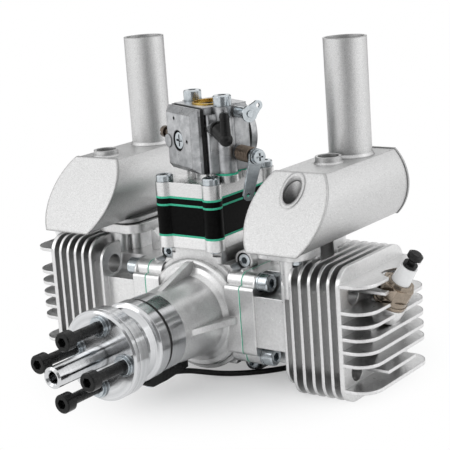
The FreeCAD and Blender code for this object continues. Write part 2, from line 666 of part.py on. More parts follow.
def prop_stud():
    tip = WASHER_FACE - STUD_REACH
    stud = revolve_y([(0, tip), (STUD_D / 2 - 0.8, tip), (STUD_D / 2, tip + 0.8), (STUD_D / 2, WASHER_FACE),
                      (STUD_ROOT_D / 2, WASHER_FACE), (STUD_ROOT_D / 2, HUB_NECK_FRONT - 1.5),
                      (0, HUB_NECK_FRONT - 1.5)])
    hole = revolve_y([(0, tip - 1), (STUD_THREAD_D / 2 + 1.0, tip - 1), (STUD_THREAD_D / 2 + 1.0, tip),
                      (STUD_THREAD_D / 2, tip + 1.0), (STUD_THREAD_D / 2, tip + STUD_THREAD_DEPTH),
                      (0, tip + STUD_THREAD_DEPTH + 2)])
    return stud.cut(hole)


def prop_bolts():
    seat = WASHER_FACE - PROP_BOLT_REACH + M5[2]
    reach = HUB_NECK_FRONT + 3.0 - seat
    return group([socket_screw(M5, reach, V(x, seat, z), -Y_AXIS) for x, z in prop_bolt_places()])


def bolt_washers():
    rings = []
    for x, z in prop_bolt_places():
        rings.append(washer(M5, WASHER_T, PROP_WASHER_RIM, V(x, WASHER_FACE, z), -Y_AXIS))
        slim = Part.makeCylinder(M5[1] / 2 - 0.1, SPRING_WASHER_T, V(x, WASHER_FACE - WASHER_T, z), -Y_AXIS)
        hole = Part.makeCylinder(M5[0] / 2 + HOLE_GAP, SPRING_WASHER_T, V(x, WASHER_FACE - WASHER_T, z), -Y_AXIS)
        rings.append(slim.cut(hole))
    return group(rings)


# Cylinder, drawn for the +X side

def port_screw_ys():
    return (PORT_Y - PORT_SCREW_SPACING / 2, PORT_Y + PORT_SCREW_SPACING / 2)


def plug_direction():
    return V(cos(radians(PLUG_ANGLE)), 0, sin(radians(PLUG_ANGLE)))


def along_plug(distance):
    return V(PLUG_SEAT[0], 0, PLUG_SEAT[1]) + plug_direction() * distance


def base_screw_places():
    return [(y, z) for y in (-BASE_SCREW_Y, BASE_SCREW_Y) for z in (-BASE_SCREW_Z, BASE_SCREW_Z)]


def barrel_fins():
    first = END_PLATE_X - END_PLATE_T
    fins = []
    for k in range(1, FIN_COUNT + 1):
        x = first - FIN_PITCH * k + (END_PLATE_T - FIN_T) / 2
        fins.append(rounded_prism("x", x, x + FIN_T, -FIN_HALF_Y, FIN_HALF_Y, -FIN_HALF_Z, FIN_HALF_Z, FIN_CORNER))
    x = first - FIN_PITCH * (FIN_COUNT + 1)
    fins.append(rounded_prism("x", x, x + FIN_T, -FIN_HALF_Y + 2, FIN_HALF_Y - 2, -FIN_HALF_Z + 3, FIN_HALF_Z - 3,
                              FIN_CORNER))
    fins.append(rounded_prism("x", first, END_PLATE_X, -FIN_HALF_Y, FIN_HALF_Y, -FIN_HALF_Z, FIN_HALF_Z, FIN_CORNER))
    return fins


def head_fins():
    fins = []
    reach = HEAD_FIN_TIP_X - END_PLATE_X + HEAD_FIN_CORNER + 1
    for row in range(-HEAD_FIN_ROWS, HEAD_FIN_ROWS + 1):
        z = row * HEAD_FIN_PITCH
        fin = rounded_prism("z", z - FIN_T / 2, z + FIN_T / 2, HEAD_FIN_TIP_X - reach, HEAD_FIN_TIP_X,
                            -FIN_HALF_Y, FIN_HALF_Y, HEAD_FIN_CORNER)
        limit = -FIN_HALF_Y - 1 if abs(row) != HEAD_FIN_ROWS - 1 else -BASE_SCREW_Y + ACCESS_HOLE_R
        rear = FIN_HALF_Y + 1 if abs(row) != HEAD_FIN_ROWS - 1 else BASE_SCREW_Y - ACCESS_HOLE_R
        fins.append(fin.common(box(END_PLATE_X - 0.5, HEAD_FIN_TIP_X + 1, limit, rear, z - 2, z + 2)))
    return fins


def screw_notches():
    """Room for the heads of the base screws: the barrel's corners are cut away up to the first fin."""
    tools = []
    for sy in (-1, 1):
        for sz in (-1, 1):
            y, z = sy * BASE_SCREW_Y, sz * BASE_SCREW_Z
            far_y, far_z = sy * (FIN_HALF_Y + 1), sz * (FIN_HALF_Z + 1)
            tools.append(cyl_x(NOTCH_R, FLANGE_X, NOTCH_END_X, y, z))
            y0, y1 = sorted((y, far_y))
            z0, z1 = sorted((z - sz * NOTCH_R, far_z))
            tools.append(box(FLANGE_X, NOTCH_END_X, y0, y1, z0, z1))
            y0, y1 = sorted((y - sy * NOTCH_R, far_y))
            z0, z1 = sorted((z, sz * (BARREL_HALF_Z + 0.5)))
            tools.append(box(FLANGE_X, NOTCH_END_X, y0, y1, z0, z1))
    return tools


def barrel():
    block = rounded_prism("x", FLANGE_X - 1, END_PLATE_X - 1, -BARREL_HALF_Y, BARREL_HALF_Y, -BARREL_HALF_Z,
                          BARREL_HALF_Z, BARREL_CORNER)
    return cut(block, screw_notches())


def cylinder_right():
    solids = [deck_profile(BASE_X, FLANGE_X)]
    solids.append(barrel())
    solids += barrel_fins()
    solids += head_fins()
    solids.append(cyl_x(DOME_R, END_PLATE_X - 2, DOME_TIP_X))
    boss_base = along_plug(-7.0)
    solids.append(Part.makeCylinder(PLUG_COLLAR_D / 2 + 0.8, 7.0, boss_base, plug_direction()))
    z0 = PORT_FLANGE_Z - PORT_FLANGE_T
    solids.append(rounded_prism("z", z0, PORT_FLANGE_Z, PORT_FLANGE_X0, PORT_FLANGE_X1,
                                PORT_Y - PORT_FLANGE_HALF_Y, PORT_Y + PORT_FLANGE_HALF_Y, 8.0))
    solids.append(rounded_prism("z", BARREL_HALF_Z - 6, z0 + 1, PORT_X - PORT_R - 3, PORT_X + PORT_R - 2,
                                PORT_Y - PORT_R - 3, PORT_Y + PORT_R + 3, 4.0))
    solids += [Part.makeCone(3.4, 4.6, z0 - 14, V(PORT_X - 4.0, y, 14), Z_AXIS) for y in port_screw_ys()]
    web_x = FLANGE_X - 6.5
    solids.append(prism([(web_x, -1.0, DECK_HALF_Z - 1), (PORT_FLANGE_X0 + 2, -1.0, DECK_HALF_Z - 1),
                         (PORT_FLANGE_X0 + 2, -1.0, z0 + 1)], (0, 2.0, 0)))
    body = fuse(solids)
    tools = [cyl_x(BORE / 2, BASE_X - 1, BORE_TOP_X)]
    tools.append(Part.makeCone(BORE / 2 - 6, 6.5, CHAMBER_DEPTH, V(BORE_TOP_X, 0, 0), X_AXIS))
    tools += [cyl_x(M5[0] / 2 + HOLE_GAP, BASE_X - 1, FLANGE_X + 1, y, z) for y, z in base_screw_places()]
    tools += [cyl_x(ACCESS_HOLE_R, FLANGE_X, END_PLATE_X + 1, y, z) for y, z in base_screw_places()]
    tools.append(Part.makeCylinder(PLUG_THREAD_D / 2 + 0.02, PLUG_THREAD_LENGTH, along_plug(-PLUG_THREAD_LENGTH),
                                   plug_direction()))
    tools.append(Part.makeCylinder(PLUG_COLLAR_D / 2 + 1.2, 30.0, along_plug(0), plug_direction()))
    tools.append(cyl_z(PORT_R, 0, PORT_FLANGE_Z + 1, PORT_X, PORT_Y))
    tools += [cyl_z(M5[0] / 2 + HOLE_GAP, PORT_FLANGE_Z - 8, PORT_FLANGE_Z + 1, PORT_X, y) for y in port_screw_ys()]
    return cut(body, tools)


def base_gasket():
    sheet = deck_profile(DECK_X, BASE_X)
    tools = [cyl_x(BORE / 2 + 0.6, DECK_X - 1, BASE_X + 1)]
    tools += [cyl_x(M5[0] / 2 + HOLE_GAP, DECK_X - 1, BASE_X + 1, y, z) for y, z in base_screw_places()]
    return cut(sheet, tools)


def cylinder_screws():
    right = []
    for y, z in base_screw_places():
        right.append(washer(M5, WASHER_T, WASHER_RIM, V(FLANGE_X, y, z), X_AXIS))
        right.append(socket_screw(M5, FLANGE_T + GASKET_T + WASHER_T + 7, V(FLANGE_X + WASHER_T, y, z), X_AXIS))
    for y in port_screw_ys():
        seat = SIL_BOTTOM_Z + SIL_WALL
        right.append(socket_screw(M5, seat - PORT_FLANGE_Z + 7, V(PORT_X, y, seat), Z_AXIS))
    return group(right + [turned(piece) for piece in right])


# Spark plug on the +X side

def plug_shell():
    d = plug_direction()
    thread = Part.makeCylinder(PLUG_THREAD_D / 2, PLUG_THREAD_LENGTH - 0.5, along_plug(-PLUG_THREAD_LENGTH + 0.5), d)
    collar = Part.makeCylinder(PLUG_COLLAR_D / 2, PLUG_NECK_T, along_plug(1.6), d)
    seat = Part.makeCylinder(PLUG_COLLAR_D / 2 - 1.5, 1.7, along_plug(0), d)
    hexagon = hexagon_prism(PLUG_HEX, PLUG_HEX_T, along_plug(1.6 + PLUG_NECK_T), d)
    hexagon = hexagon.common(Part.makeCylinder(PLUG_HEX / 2 + 0.7, PLUG_HEX_T + 2, along_plug(3.2), d))
    top = 1.6 + PLUG_NECK_T + PLUG_HEX_T
    crimp = Part.makeCone(6.2, 5.4, 1.4, along_plug(top), d)
    body = fuse([thread, seat, collar, hexagon, crimp])
    core = Part.makeCylinder(4.6, 40, along_plug(-1), d)
    gasket = Part.makeCylinder(PLUG_COLLAR_D / 2 + 0.4, 1.6, along_plug(0), d)
    gasket = gasket.cut(Part.makeCylinder(PLUG_COLLAR_D / 2 - 1.5, 1.6, along_plug(0), d))
    return [body.cut(core), gasket]


def plug_insulator():
    d = plug_direction()
    low = Part.makeCylinder(4.5, 12.5, along_plug(-0.9), d)
    high = Part.makeCone(4.5, 3.9, 8.5, along_plug(11.6), d)
    return fuse([low, high])


def plug_terminal():
    d = plug_direction()
    base = 20.1
    parts = [Part.makeCylinder(3.3, 1.6, along_plug(base), d), Part.makeCylinder(1.8, 3.2, along_plug(base + 1.5), d),
             Part.makeCone(2.2, 3.5, 1.2, along_plug(base + 3.6), d),
             Part.makeCylinder(3.5, 1.8, along_plug(base + 4.7), d),
             Part.makeCone(3.5, 2.4, 0.9, along_plug(base + 6.4), d)]
    return fuse(parts)


# Silencer, drawn for the +X side

def silencer_section(y0, y1, shrink):
    """Flat top and bottom with bowed sides, extruded along Y; shrink is the inset from outside."""
    flat = SIL_HALF_FLAT
    low = SIL_BOTTOM_Z + shrink
    high = SIL_TOP_Z - shrink
    bow = SIL_HALF_WIDTH - shrink
    right = Part.Arc(V(PORT_X + flat, y0, low), V(PORT_X + bow, y0, SIL_MID_Z), V(PORT_X + flat, y0, high))
    left = Part.Arc(V(PORT_X - flat, y0, high), V(PORT_X - bow, y0, SIL_MID_Z), V(PORT_X - flat, y0, low))
    edges = [Part.makeLine(V(PORT_X - flat, y0, low), V(PORT_X + flat, y0, low)), right.toShape(),
             Part.makeLine(V(PORT_X + flat, y0, high), V(PORT_X - flat, y0, high)), left.toShape()]
    return Part.Face(Part.Wire(edges)).extrude(V(0, y1 - y0, 0))


def behind_slope(offset, far=120.0):
    """Everything behind the oblique front plane, which is moved forward by an offset."""
    y_low = SIL_FRONT_BOTTOM_Y - offset - 20 * SIL_SLOPE
    y_high = SIL_FRONT_TOP_Y - offset + 20 * SIL_SLOPE
    z_low = SIL_BOTTOM_Z - 20
    z_high = SIL_TOP_Z + 20
    return prism([(0, y_low, z_low), (0, far, z_low), (0, far, z_high), (0, y_high, z_high)], (far, 0, 0))


def silencer(stub_y, sloped_y):
    front = SIL_FRONT_BOTTOM_Y - 5
    shell = silencer_section(front, SIL_REAR_Y - SIL_PLATE_T, 0)
    hollow = silencer_section(front - 1, SIL_REAR_Y, SIL_WALL)
    shell = shell.common(behind_slope(-SIL_PLATE_T))
    base = rounded_prism("z", SIL_BOTTOM_Z - SIL_FLANGE_T, SIL_BOTTOM_Z + 0.4, PORT_FLANGE_X0 + 3, PORT_FLANGE_X1 + 3,
                         -PORT_FLANGE_HALF_Y, PORT_FLANGE_HALF_Y, 8.0)
    port_y = PORT_Y if sloped_y is not None else -PORT_Y
    base.translate(V(0, port_y, 0))
    body = fuse([shell, base]).cut(hollow)
    tubes = []
    bores = [cyl_z(TUBE_R - TUBE_WALL, SIL_TOP_Z - 3, SIL_TOP_Z + 3, PORT_X, TUBE_Y)]
    outer = cyl_z(STUB_R, SIL_BOTTOM_Z, SIL_TOP_Z + STUB_RISE, PORT_X, stub_y)
    bead = Part.makeCone(STUB_R + 0.9, STUB_R, 1.0, V(PORT_X, stub_y, SIL_TOP_Z - 0.05), Z_AXIS)
    tubes += [outer, bead]
    bores.append(cyl_z(STUB_R - STUB_WALL, SIL_BOTTOM_Z + SIL_WALL, SIL_TOP_Z + STUB_RISE + 1, PORT_X, stub_y))
    if sloped_y is not None:
        tube = cyl_z(SLOPED_R, SIL_BOTTOM_Z, SIL_TOP_Z - SIL_WALL, PORT_X, sloped_y)
        tubes.append(tube.common(behind_slope(-SIL_PLATE_T)))
        bores.append(cyl_z(SLOPED_R - SLOPED_WALL, SIL_BOTTOM_Z + SIL_WALL, SIL_TOP_Z + 5, PORT_X, sloped_y))
    for y in (port_y - PORT_SCREW_SPACING / 2, port_y + PORT_SCREW_SPACING / 2):
        bores.append(cyl_z(M5[0] / 2 + HOLE_GAP, SIL_BOTTOM_Z - 5, SIL_BOTTOM_Z + 5, PORT_X, y))
    bores.append(cyl_z(PORT_R, SIL_BOTTOM_Z - 5, SIL_BOTTOM_Z + 5, PORT_X, port_y))
    body = fuse([body] + tubes)
    return cut(body, bores)


def front_plate(sloped_y):
    grown = silencer_section(SIL_FRONT_BOTTOM_Y - 8, 0, -SIL_RIM)
    plate = grown.common(behind_slope(0)).cut(behind_slope(-SIL_PLATE_T))
    if sloped_y is not None:
        collar = cyl_z(SLOPED_R, SIL_BOTTOM_Z - 2, SIL_TOP_Z + 6, PORT_X, sloped_y)
        collar = collar.common(behind_slope(0.5)).cut(behind_slope(-SIL_PLATE_T))
        plate = fuse([plate, collar])
        plate = plate.cut(cyl_z(SLOPED_R - SLOPED_WALL, SIL_BOTTOM_Z - 5, SIL_TOP_Z + 9, PORT_X, sloped_y))
    return plate


def rear_cap():
    edge = silencer_section(SIL_REAR_Y - SIL_PLATE_T, SIL_REAR_Y - 0.4, -SIL_RIM)
    crown = silencer_section(SIL_REAR_Y - 0.5, SIL_REAR_Y, SIL_WALL)
    return fuse([edge, crown])


def outlet_tube():
    tube = cyl_z(TUBE_R, SIL_TOP_Z, TUBE_TOP_Z, PORT_X, TUBE_Y)
    bead = Part.makeCone(TUBE_R + TUBE_BEAD, TUBE_R, 1.6, V(PORT_X, TUBE_Y, SIL_TOP_Z), Z_AXIS)
    return fuse([tube, bead]).cut(cyl_z(TUBE_R - TUBE_WALL, SIL_TOP_Z - 1, TUBE_TOP_Z + 1, PORT_X, TUBE_Y))


def exhaust_gasket():
    z0 = PORT_FLANGE_Z
    z1 = PORT_FLANGE_Z + PORT_GASKET_T
    sheet = rounded_prism("z", z0, z1, PORT_FLANGE_X0 + 3, PORT_FLANGE_X1, PORT_Y - PORT_FLANGE_HALF_Y + 1,
                          PORT_Y + PORT_FLANGE_HALF_Y - 1, 8.0)
    tools = [cyl_z(PORT_R, z0 - 1, z1 + 1, PORT_X, PORT_Y)]
    tools += [cyl_z(M5[0] / 2 + HOLE_GAP, z0 - 1, z1 + 1, PORT_X, y) for y in port_screw_ys()]
    return cut(sheet, tools)


# Intake stack

def stack_layer(z0, z1):
    plate = intake_plate(z0, z1)
    return cut(plate, [intake_duct(z0 - 1, z1 + 1)] + intake_holes(z0 - 1, z1 + 1, M5[0] / 2 + HOLE_GAP))


def carb_frame(shape):
    """Put a piece that is drawn about the carburettor's bore, u to the levers, in its place."""
    copy = shape.copy()
    copy.rotate(V(0, 0, 0), Z_AXIS, CARB_TURN)
    copy.translate(V(CARB_X, CARB_Y, CARB_Z))
    return copy


def neck_outline(z0, z1):
    solids = [cyl_z(NECK_R, z0, z1)]
    solids += [cyl_z(5.2, z0, z1, side * CARB_SCREW_U, CARB_SCREW_V) for side in (-1, 1)]
    return fuse(solids)


def neck_solid(z0, z1):
    flutes = [cyl_z(NECK_FLUTE_R, z0 - 1, z1 + 1, (NECK_R + 0.4) * cos(2 * pi * (k + 0.5) / NECK_FLUTES),
                    (NECK_R + 0.4) * sin(2 * pi * (k + 0.5) / NECK_FLUTES)) for k in range(NECK_FLUTES)]
    screws = [cyl_z(M5[0] / 2 + HOLE_GAP, z0 - 1, z1 + 1, side * CARB_SCREW_U, CARB_SCREW_V) for side in (-1, 1)]
    return cut(neck_outline(z0, z1), flutes + screws)


def intake_adapter():
    plate = intake_plate(ADAPTER_Z, ADAPTER_TOP_Z)
    plate = cut(plate, intake_holes(ADAPTER_Z - 1, ADAPTER_TOP_Z + 1, M5[0] / 2 + HOLE_GAP))
    neck = neck_solid(-CARB_Z + ADAPTER_TOP_Z - 0.5, -CARB_Z + NECK_TOP_Z)
    body = fuse([plate, carb_frame(neck)])
    bore = carb_frame(cyl_z(CARB_BORE_R, -20, 5))
    funnel = carb_frame(Part.makeCone(CARB_BORE_R + 3.5, CARB_BORE_R, ADAPTER_T - 2, V(0, 0, ADAPTER_Z - CARB_Z), Z_AXIS))
    return cut(body, [bore, funnel])


def intake_gaskets():
    green = [stack_layer(CASE_TOP_Z, SPACER_Z), stack_layer(REED_Z - GREEN_T, REED_Z),
             stack_layer(ADAPTER_Z - GREEN_T, ADAPTER_Z)]
    neck = neck_solid(-GREEN_T, 0)
    neck = cut(neck, [cyl_z(CARB_BORE_R, -GREEN_T - 1, 1)])
    return group(green + [carb_frame(neck)])


def reed_plate():
    plate = intake_plate(REED_Z, REED_Z + REED_PLATE_T)
    tools = intake_holes(REED_Z - 1, REED_Z + REED_PLATE_T + 1, M5[0] / 2 + HOLE_GAP)
    middle = (INTAKE_FRONT_Y + INTAKE_REAR_Y) / 2
    for k in (-1, 0, 1):
        tools.append(box(-7, 7, middle + 8.2 * k - 3.0, middle + 8.2 * k + 3.0, REED_Z - 1, REED_Z + REED_PLATE_T + 1))
    return cut(plate, tools)


def reed_petals():
    """Three flat petals under the plate, each held at one end."""
    middle = (INTAKE_FRONT_Y + INTAKE_REAR_Y) / 2
    thickness = 0.4
    top = REED_Z
    petals = [box(-8.5, 8.5, middle + 8.2 * k - 3.8, middle + 8.2 * k + 3.8, top - thickness, top) for k in (-1, 0, 1)]
    return group(petals)


def intake_screws():
    solids = []
    for x in (-INTAKE_SCREW_X, INTAKE_SCREW_X):
        for y in (INTAKE_FRONT_Y, INTAKE_REAR_Y):
            reach = ADAPTER_TOP_Z + 0.0 - CASE_TOP_Z + 6.5
            low = (M5[0], M5[1] - 0.3, 3.2, M5[3])
            solids.append(socket_screw(low, reach, V(x, y, ADAPTER_TOP_Z), Z_AXIS))
    for side in (-1, 1):
        seat = V(side * CARB_SCREW_U, CARB_SCREW_V, CARB_HEIGHT)
        solids.append(carb_frame(socket_screw(M5, CARB_HEIGHT + GREEN_T + NECK_T - 0.5, seat, Z_AXIS)))
    return group(solids)


# Carburettor, drawn with u along X, the metering cover at -Y and the bore on Z

def carb_body():
    h = CARB_HEIGHT
    solids = [rounded_prism("z", 0, h, -CARB_HALF_U, CARB_HALF_U - 1.8, -CARB_FRONT, CARB_REAR, 1.2)]
    solids.append(rounded_prism("z", 0.4, h - 3.2, 2, CARB_SIDE_U, -CARB_FRONT + 0.7, CARB_REAR - 0.8, 1.2))
    solids += [cyl_z(CARB_BOSS_R, 0, h, side * CARB_SCREW_U, CARB_SCREW_V) for side in (-1, 1)]
    solids.append(cyl_x(3.6, 1, SHAFT_STAND_U - 0.3, 0, THROTTLE_Z))
    solids.append(cyl_x(2.8, 1, SHAFT_STAND_U - 0.3, 0, CHOKE_Z))
    solids.append(cyl_x(3.3, 6, ELBOW_U, ELBOW_V, ELBOW_Z))
    solids.append(cyl_x(3.4, -NEEDLE_U, -4, NEEDLE_V, NEEDLE_Z))
    body = solids[0]
    for solid in solids[1:]:
        body = body.fuse(solid)
    tools = [cyl_z(CARB_BORE_R, -1, h + 1)]
    tools.append(cyl_z(MOUTH_R - RIM_T + 0.2, h - MOUTH_DEPTH, h + 1, 0, MOUTH_V))
    tools.append(cyl_z(MOUTH_R, h - RIM_DEPTH, h + 1, 0, MOUTH_V))
    tools += [cyl_z(M5[0] / 2 + HOLE_GAP, -1, h + 1, side * CARB_SCREW_U, CARB_SCREW_V) for side in (-1, 1)]
    for z in (THROTTLE_Z, CHOKE_Z):
        tools.append(cyl_x(BUTTERFLY_SHAFT_D / 2 + RUN_GAP, -CARB_HALF_U + 4, SHAFT_STAND_U + 1, 0, z))
    tools.append(cyl_x(1.6, ELBOW_U - 5, ELBOW_U + 2, ELBOW_V, ELBOW_Z))
    for tool in tools:
        body = body.cut(tool)
    return body


def throat_rim():
    """Brass ring set in the mouth of the throat."""
    low = CARB_HEIGHT - RIM_DEPTH
    ring = cyl_z(MOUTH_R, low, CARB_HEIGHT + RIM_RISE, 0, MOUTH_V)
    return ring.cut(cyl_z(MOUTH_R - RIM_T, low - 1, CARB_HEIGHT + RIM_RISE + 1, 0, MOUTH_V))


def cover_shape(y_in, y_out, u0, u1, z0, z1, edge):
    """Cover with its four edges bevelled towards the outer face, as a ruled loft of two rectangles."""
    def rectangle(y, inset):
        points = [V(u0 + inset, y, z0 + inset), V(u1 - inset, y, z0 + inset),
                  V(u1 - inset, y, z1 - inset), V(u0 + inset, y, z1 - inset)]
        return Part.makePolygon(points + [points[0]])
    step = y_in + (y_out - y_in) * 0.35
    low = Part.makeLoft([rectangle(y_in, 0), rectangle(step, 0)], True, True)
    high = Part.makeLoft([rectangle(step, 0), rectangle(y_out, edge)], True, True)
    return fuse([low, high])


def metering_cover():
    inner = -CARB_FRONT - COVER_GASKET_T
    outer = inner - COVER_T
    cover = cover_shape(inner, outer, -CARB_HALF_U, CARB_HALF_U - 1.8, 0.5, CARB_HEIGHT - 0.5, COVER_EDGE)
    button = cyl_y(3.2, outer - 0.4, inner, -11.6, COVER_SCREW_Z - 1.0)
    pocket = cyl_y(4.9, outer - 1, outer + 1.8, COVER_SCREW_U, COVER_SCREW_Z)
    vents = [cyl_y(0.8, outer - 1, outer + 2, u, z) for u, z in ((-4.9, 25.4), (6.4, 15.4))]
    return cut(fuse([cover, button]), [pocket, cyl_y(1.6, outer, inner + 1, COVER_SCREW_U, COVER_SCREW_Z)] + vents)


def carb_gaskets():
    front = rounded_prism("y", -CARB_FRONT - COVER_GASKET_T, -CARB_FRONT, -CARB_HALF_U - 0.3, CARB_HALF_U - 1.4, 0.2,
                          CARB_HEIGHT - 0.2, 1.0)
    front = front.cut(cyl_y(1.6, -CARB_FRONT - COVER_GASKET_T - 1, -CARB_FRONT + 1, COVER_SCREW_U, COVER_SCREW_Z))
    rear = cyl_y(14.2, CARB_REAR, CARB_REAR + COVER_GASKET_T, 0, PUMP_Z)
    rear = rear.cut(cyl_y(1.6, CARB_REAR - 1, CARB_REAR + COVER_GASKET_T + 1, 0, PUMP_Z))
    return group([front, rear])


def pump_cover():
    y0 = CARB_REAR + COVER_GASKET_T
    top = y0 + PUMP_COVER_T + PUMP_CROWN_RISE
    disc = cyl_y(PUMP_COVER_R, y0, y0 + PUMP_COVER_T, 0, PUMP_Z)
    raised = cyl_y(PUMP_CROWN_R, y0, top, 0, PUMP_Z)
    return cut(fuse([disc, raised]), [cyl_y(COVER_SCREW_HOLE_R, y0 - 1, top + 1, 0, PUMP_Z)])


def cover_screws():
    """Centre screws of both carburettor covers and the screw that holds the sensor."""
    inner = -CARB_FRONT - COVER_GASKET_T
    seat = inner - COVER_T + 1.8
    u = COVER_SCREW_U
    z = COVER_SCREW_Z
    head = Part.makeCone(4.6, 3.9, 1.4, V(u, seat, z), -Y_AXIS)
    shank = Part.makeCylinder(1.5, abs(seat - inner) + 0.5, V(u, seat, z), Y_AXIS)
    slot = box(u - 0.5, u + 0.5, seat - 2, seat - 0.6, z - 2.8, z + 2.8)
    across = box(u - 2.8, u + 2.8, seat - 2, seat - 0.6, z - 0.5, z + 0.5)
    front = cut(fuse([head, shank]), [slot, across])
    y0 = CARB_REAR + COVER_GASKET_T + PUMP_COVER_T + 1.2
    rear = fuse([cyl_y(3.4, y0, y0 + 1.6, 0, PUMP_Z), cyl_y(1.5, CARB_REAR + 0.5, y0, 0, PUMP_Z)])
    return group([carb_frame(front), carb_frame(rear), sensor_screw()])


def fuel_elbow():
    """Inlet nipple: base disc, drooping knuckle with a round end and an upright stem."""
    u0 = ELBOW_U
    knob_u = u0 + ELBOW_REACH
    knob_z = ELBOW_Z - ELBOW_DROP
    base = cyl_x(3.9, u0, u0 + 1.6, ELBOW_V, ELBOW_Z)
    start = V(u0 + 0.8, ELBOW_V, ELBOW_Z - 0.2)
    run = V(knob_u, ELBOW_V, knob_z) - start
    knuckle = Part.makeCone(3.7, 3.0, run.Length, start, run)
    knuckle = knuckle.cut(box(u0 - 5, u0, ELBOW_V - 6, ELBOW_V + 6, ELBOW_Z - 6, ELBOW_Z + 6))
    knob = Part.makeSphere(3.2, V(knob_u, ELBOW_V, knob_z))
    stem = Part.makeCone(2.6, 2.1, 12.0, V(knob_u, ELBOW_V, knob_z), Z_AXIS)
    barb = Part.makeCone(2.5, 2.0, 2.2, V(knob_u, ELBOW_V, knob_z + 10.0), Z_AXIS)
    plug = cyl_x(1.5, u0 - 3, u0 + 1, ELBOW_V, ELBOW_Z)
    body = fuse([base, knuckle, knob, stem, barb, plug])
    return carb_frame(body.cut(cyl_z(1.2, knob_z, knob_z + 20, knob_u, ELBOW_V)))


def mixture_screws():
    """Needle screw with its spring and slotted head, on the far side."""
    u0 = -NEEDLE_U
    tip = u0 - NEEDLE_LENGTH
    head = cyl_x(2.9, tip, tip + 3.2, NEEDLE_V, NEEDLE_Z)
    stem = cyl_x(1.6, tip + 2.5, u0, NEEDLE_V, NEEDLE_Z)
    count = int((NEEDLE_LENGTH - 3.6) / 1.5)
    coils = [cyl_x(2.5, u0 - 0.9 - 1.5 * k, u0 - 0.1 - 1.5 * k, NEEDLE_V, NEEDLE_Z) for k in range(count)]
    slot = box(tip - 1, tip + 1, NEEDLE_V - 4, NEEDLE_V + 4, NEEDLE_Z - 0.4, NEEDLE_Z + 0.4)
    return carb_frame(cut(fuse([head, stem] + coils), [slot]))


def butterfly(z, bore_r, tilt):
    disc = cyl_z(bore_r - BODY_GAP, -BUTTERFLY_T / 2, BUTTERFLY_T / 2)
    disc.rotate(V(0, 0, 0), X_AXIS, tilt)
    disc.translate(V(0, 0, z))
    return disc


def butterfly_shaft(z, lever_u, sleeve_r):
    """Shaft through the bore; outside the body it can have a thicker sleeve up to the lever."""
    end = lever_u + LEVER_T + 0.6
    shaft = cyl_x(BUTTERFLY_SHAFT_D / 2, -CARB_HALF_U + 4 + BODY_GAP, SHAFT_STAND_U + 1, 0, z)
    sleeve = cyl_x(sleeve_r, SHAFT_STAND_U, lever_u, 0, z)
    return fuse([shaft, sleeve, cyl_x(BUTTERFLY_SHAFT_D / 2 - 0.1, CARB_SIDE_U, end, 0, z)])


def throttle_parts():
    shaft = butterfly_shaft(THROTTLE_Z, THROTTLE_LEVER_U, BUTTERFLY_SHAFT_D / 2)
    plate = butterfly(THROTTLE_Z, CARB_BORE_R, THROTTLE_TILT)
    slot = butterfly(THROTTLE_Z, CARB_BORE_R + 1, THROTTLE_TILT)
    shaft = shaft.cut(slot)
    return carb_frame(shaft), carb_frame(plate)


def choke_parts():
    shaft = butterfly_shaft(CHOKE_Z, CHOKE_LEVER_U, 2.7)
    plate = butterfly(CHOKE_Z, CARB_BORE_R, CHOKE_TILT)
    slot = butterfly(CHOKE_Z, CARB_BORE_R + 1, CHOKE_TILT)
    return carb_frame(shaft.cut(slot)), carb_frame(plate)


def lever(u, z, length, stand, hub_r, tip_r):
    """Flat lever from its hub on the shaft to a hole at the tip; stand is its angle from +Y upwards."""
    tip = V(u, length * cos(radians(stand)), z + length * sin(radians(stand)))
    hub = cyl_x(hub_r, u, u + LEVER_T, 0, z)
    end = cyl_x(tip_r, u, u + LEVER_T, tip.y, tip.z)
    across = V(0, -sin(radians(stand)), cos(radians(stand)))
    a = V(u, 0, z) + across * (hub_r * 0.92)
    b = tip + across * (tip_r * 0.98)
    c = tip - across * (tip_r * 0.98)
    d = V(u, 0, z) - across * (hub_r * 0.92)
    bar = Part.Face(Part.makePolygon([a, b, c, d, a])).extrude(V(LEVER_T, 0, 0))
    body = fuse([hub, end, bar])
    holes = [cyl_x(LEVER_HOLE_D / 2, u - 1, u + LEVER_T + 1, tip.y, tip.z),
             cyl_x(BUTTERFLY_SHAFT_D / 2 - 0.1, u - 1, u + LEVER_T + 1, 0, z)]
    return cut(body, holes)


def lever_screw():
    u = THROTTLE_LEVER_U + LEVER_T + 0.6
    washer_ring = cyl_x(3.6, u, u + 0.8, 0, THROTTLE_Z)
    head = cyl_x(3.0, u + 0.8, u + 2.2, 0, THROTTLE_Z)
    cross = [box(u + 1.4, u + 3, -0.4, 0.4, THROTTLE_Z - 1.8, THROTTLE_Z + 1.8),
             box(u + 1.4, u + 3, -1.8, 1.8, THROTTLE_Z - 0.4, THROTTLE_Z + 0.4)]
    return carb_frame(cut(fuse([washer_ring, head]), cross))


def throttle_spring():
    """Torsion spring around the throttle shaft, drawn as close round turns."""
    start = SHAFT_STAND_U
    pitch = (THROTTLE_LEVER_U - start - 1.5) / SPRING_TURNS
    turns = []
    for k in range(SPRING_TURNS):
        turns.append(Part.makeTorus(SPRING_COIL_R, SPRING_WIRE_R + 0.25, V(start + pitch * (k + 0.5), 0, THROTTLE_Z), X_AXIS))
    sleeve = cyl_x(SPRING_COIL_R, start, start + pitch * SPRING_TURNS, 0, THROTTLE_Z)
    sleeve = sleeve.cut(cyl_x(BUTTERFLY_SHAFT_D / 2 + BODY_GAP, start - 1, THROTTLE_LEVER_U, 0, THROTTLE_Z))
    return carb_frame(fuse([sleeve] + turns))


# Ignition sensor and lead

SENSOR_TOP = -(RING_R + 0.05)
SENSOR_FRONT = RING_FACE - SENSOR_OVERHANG


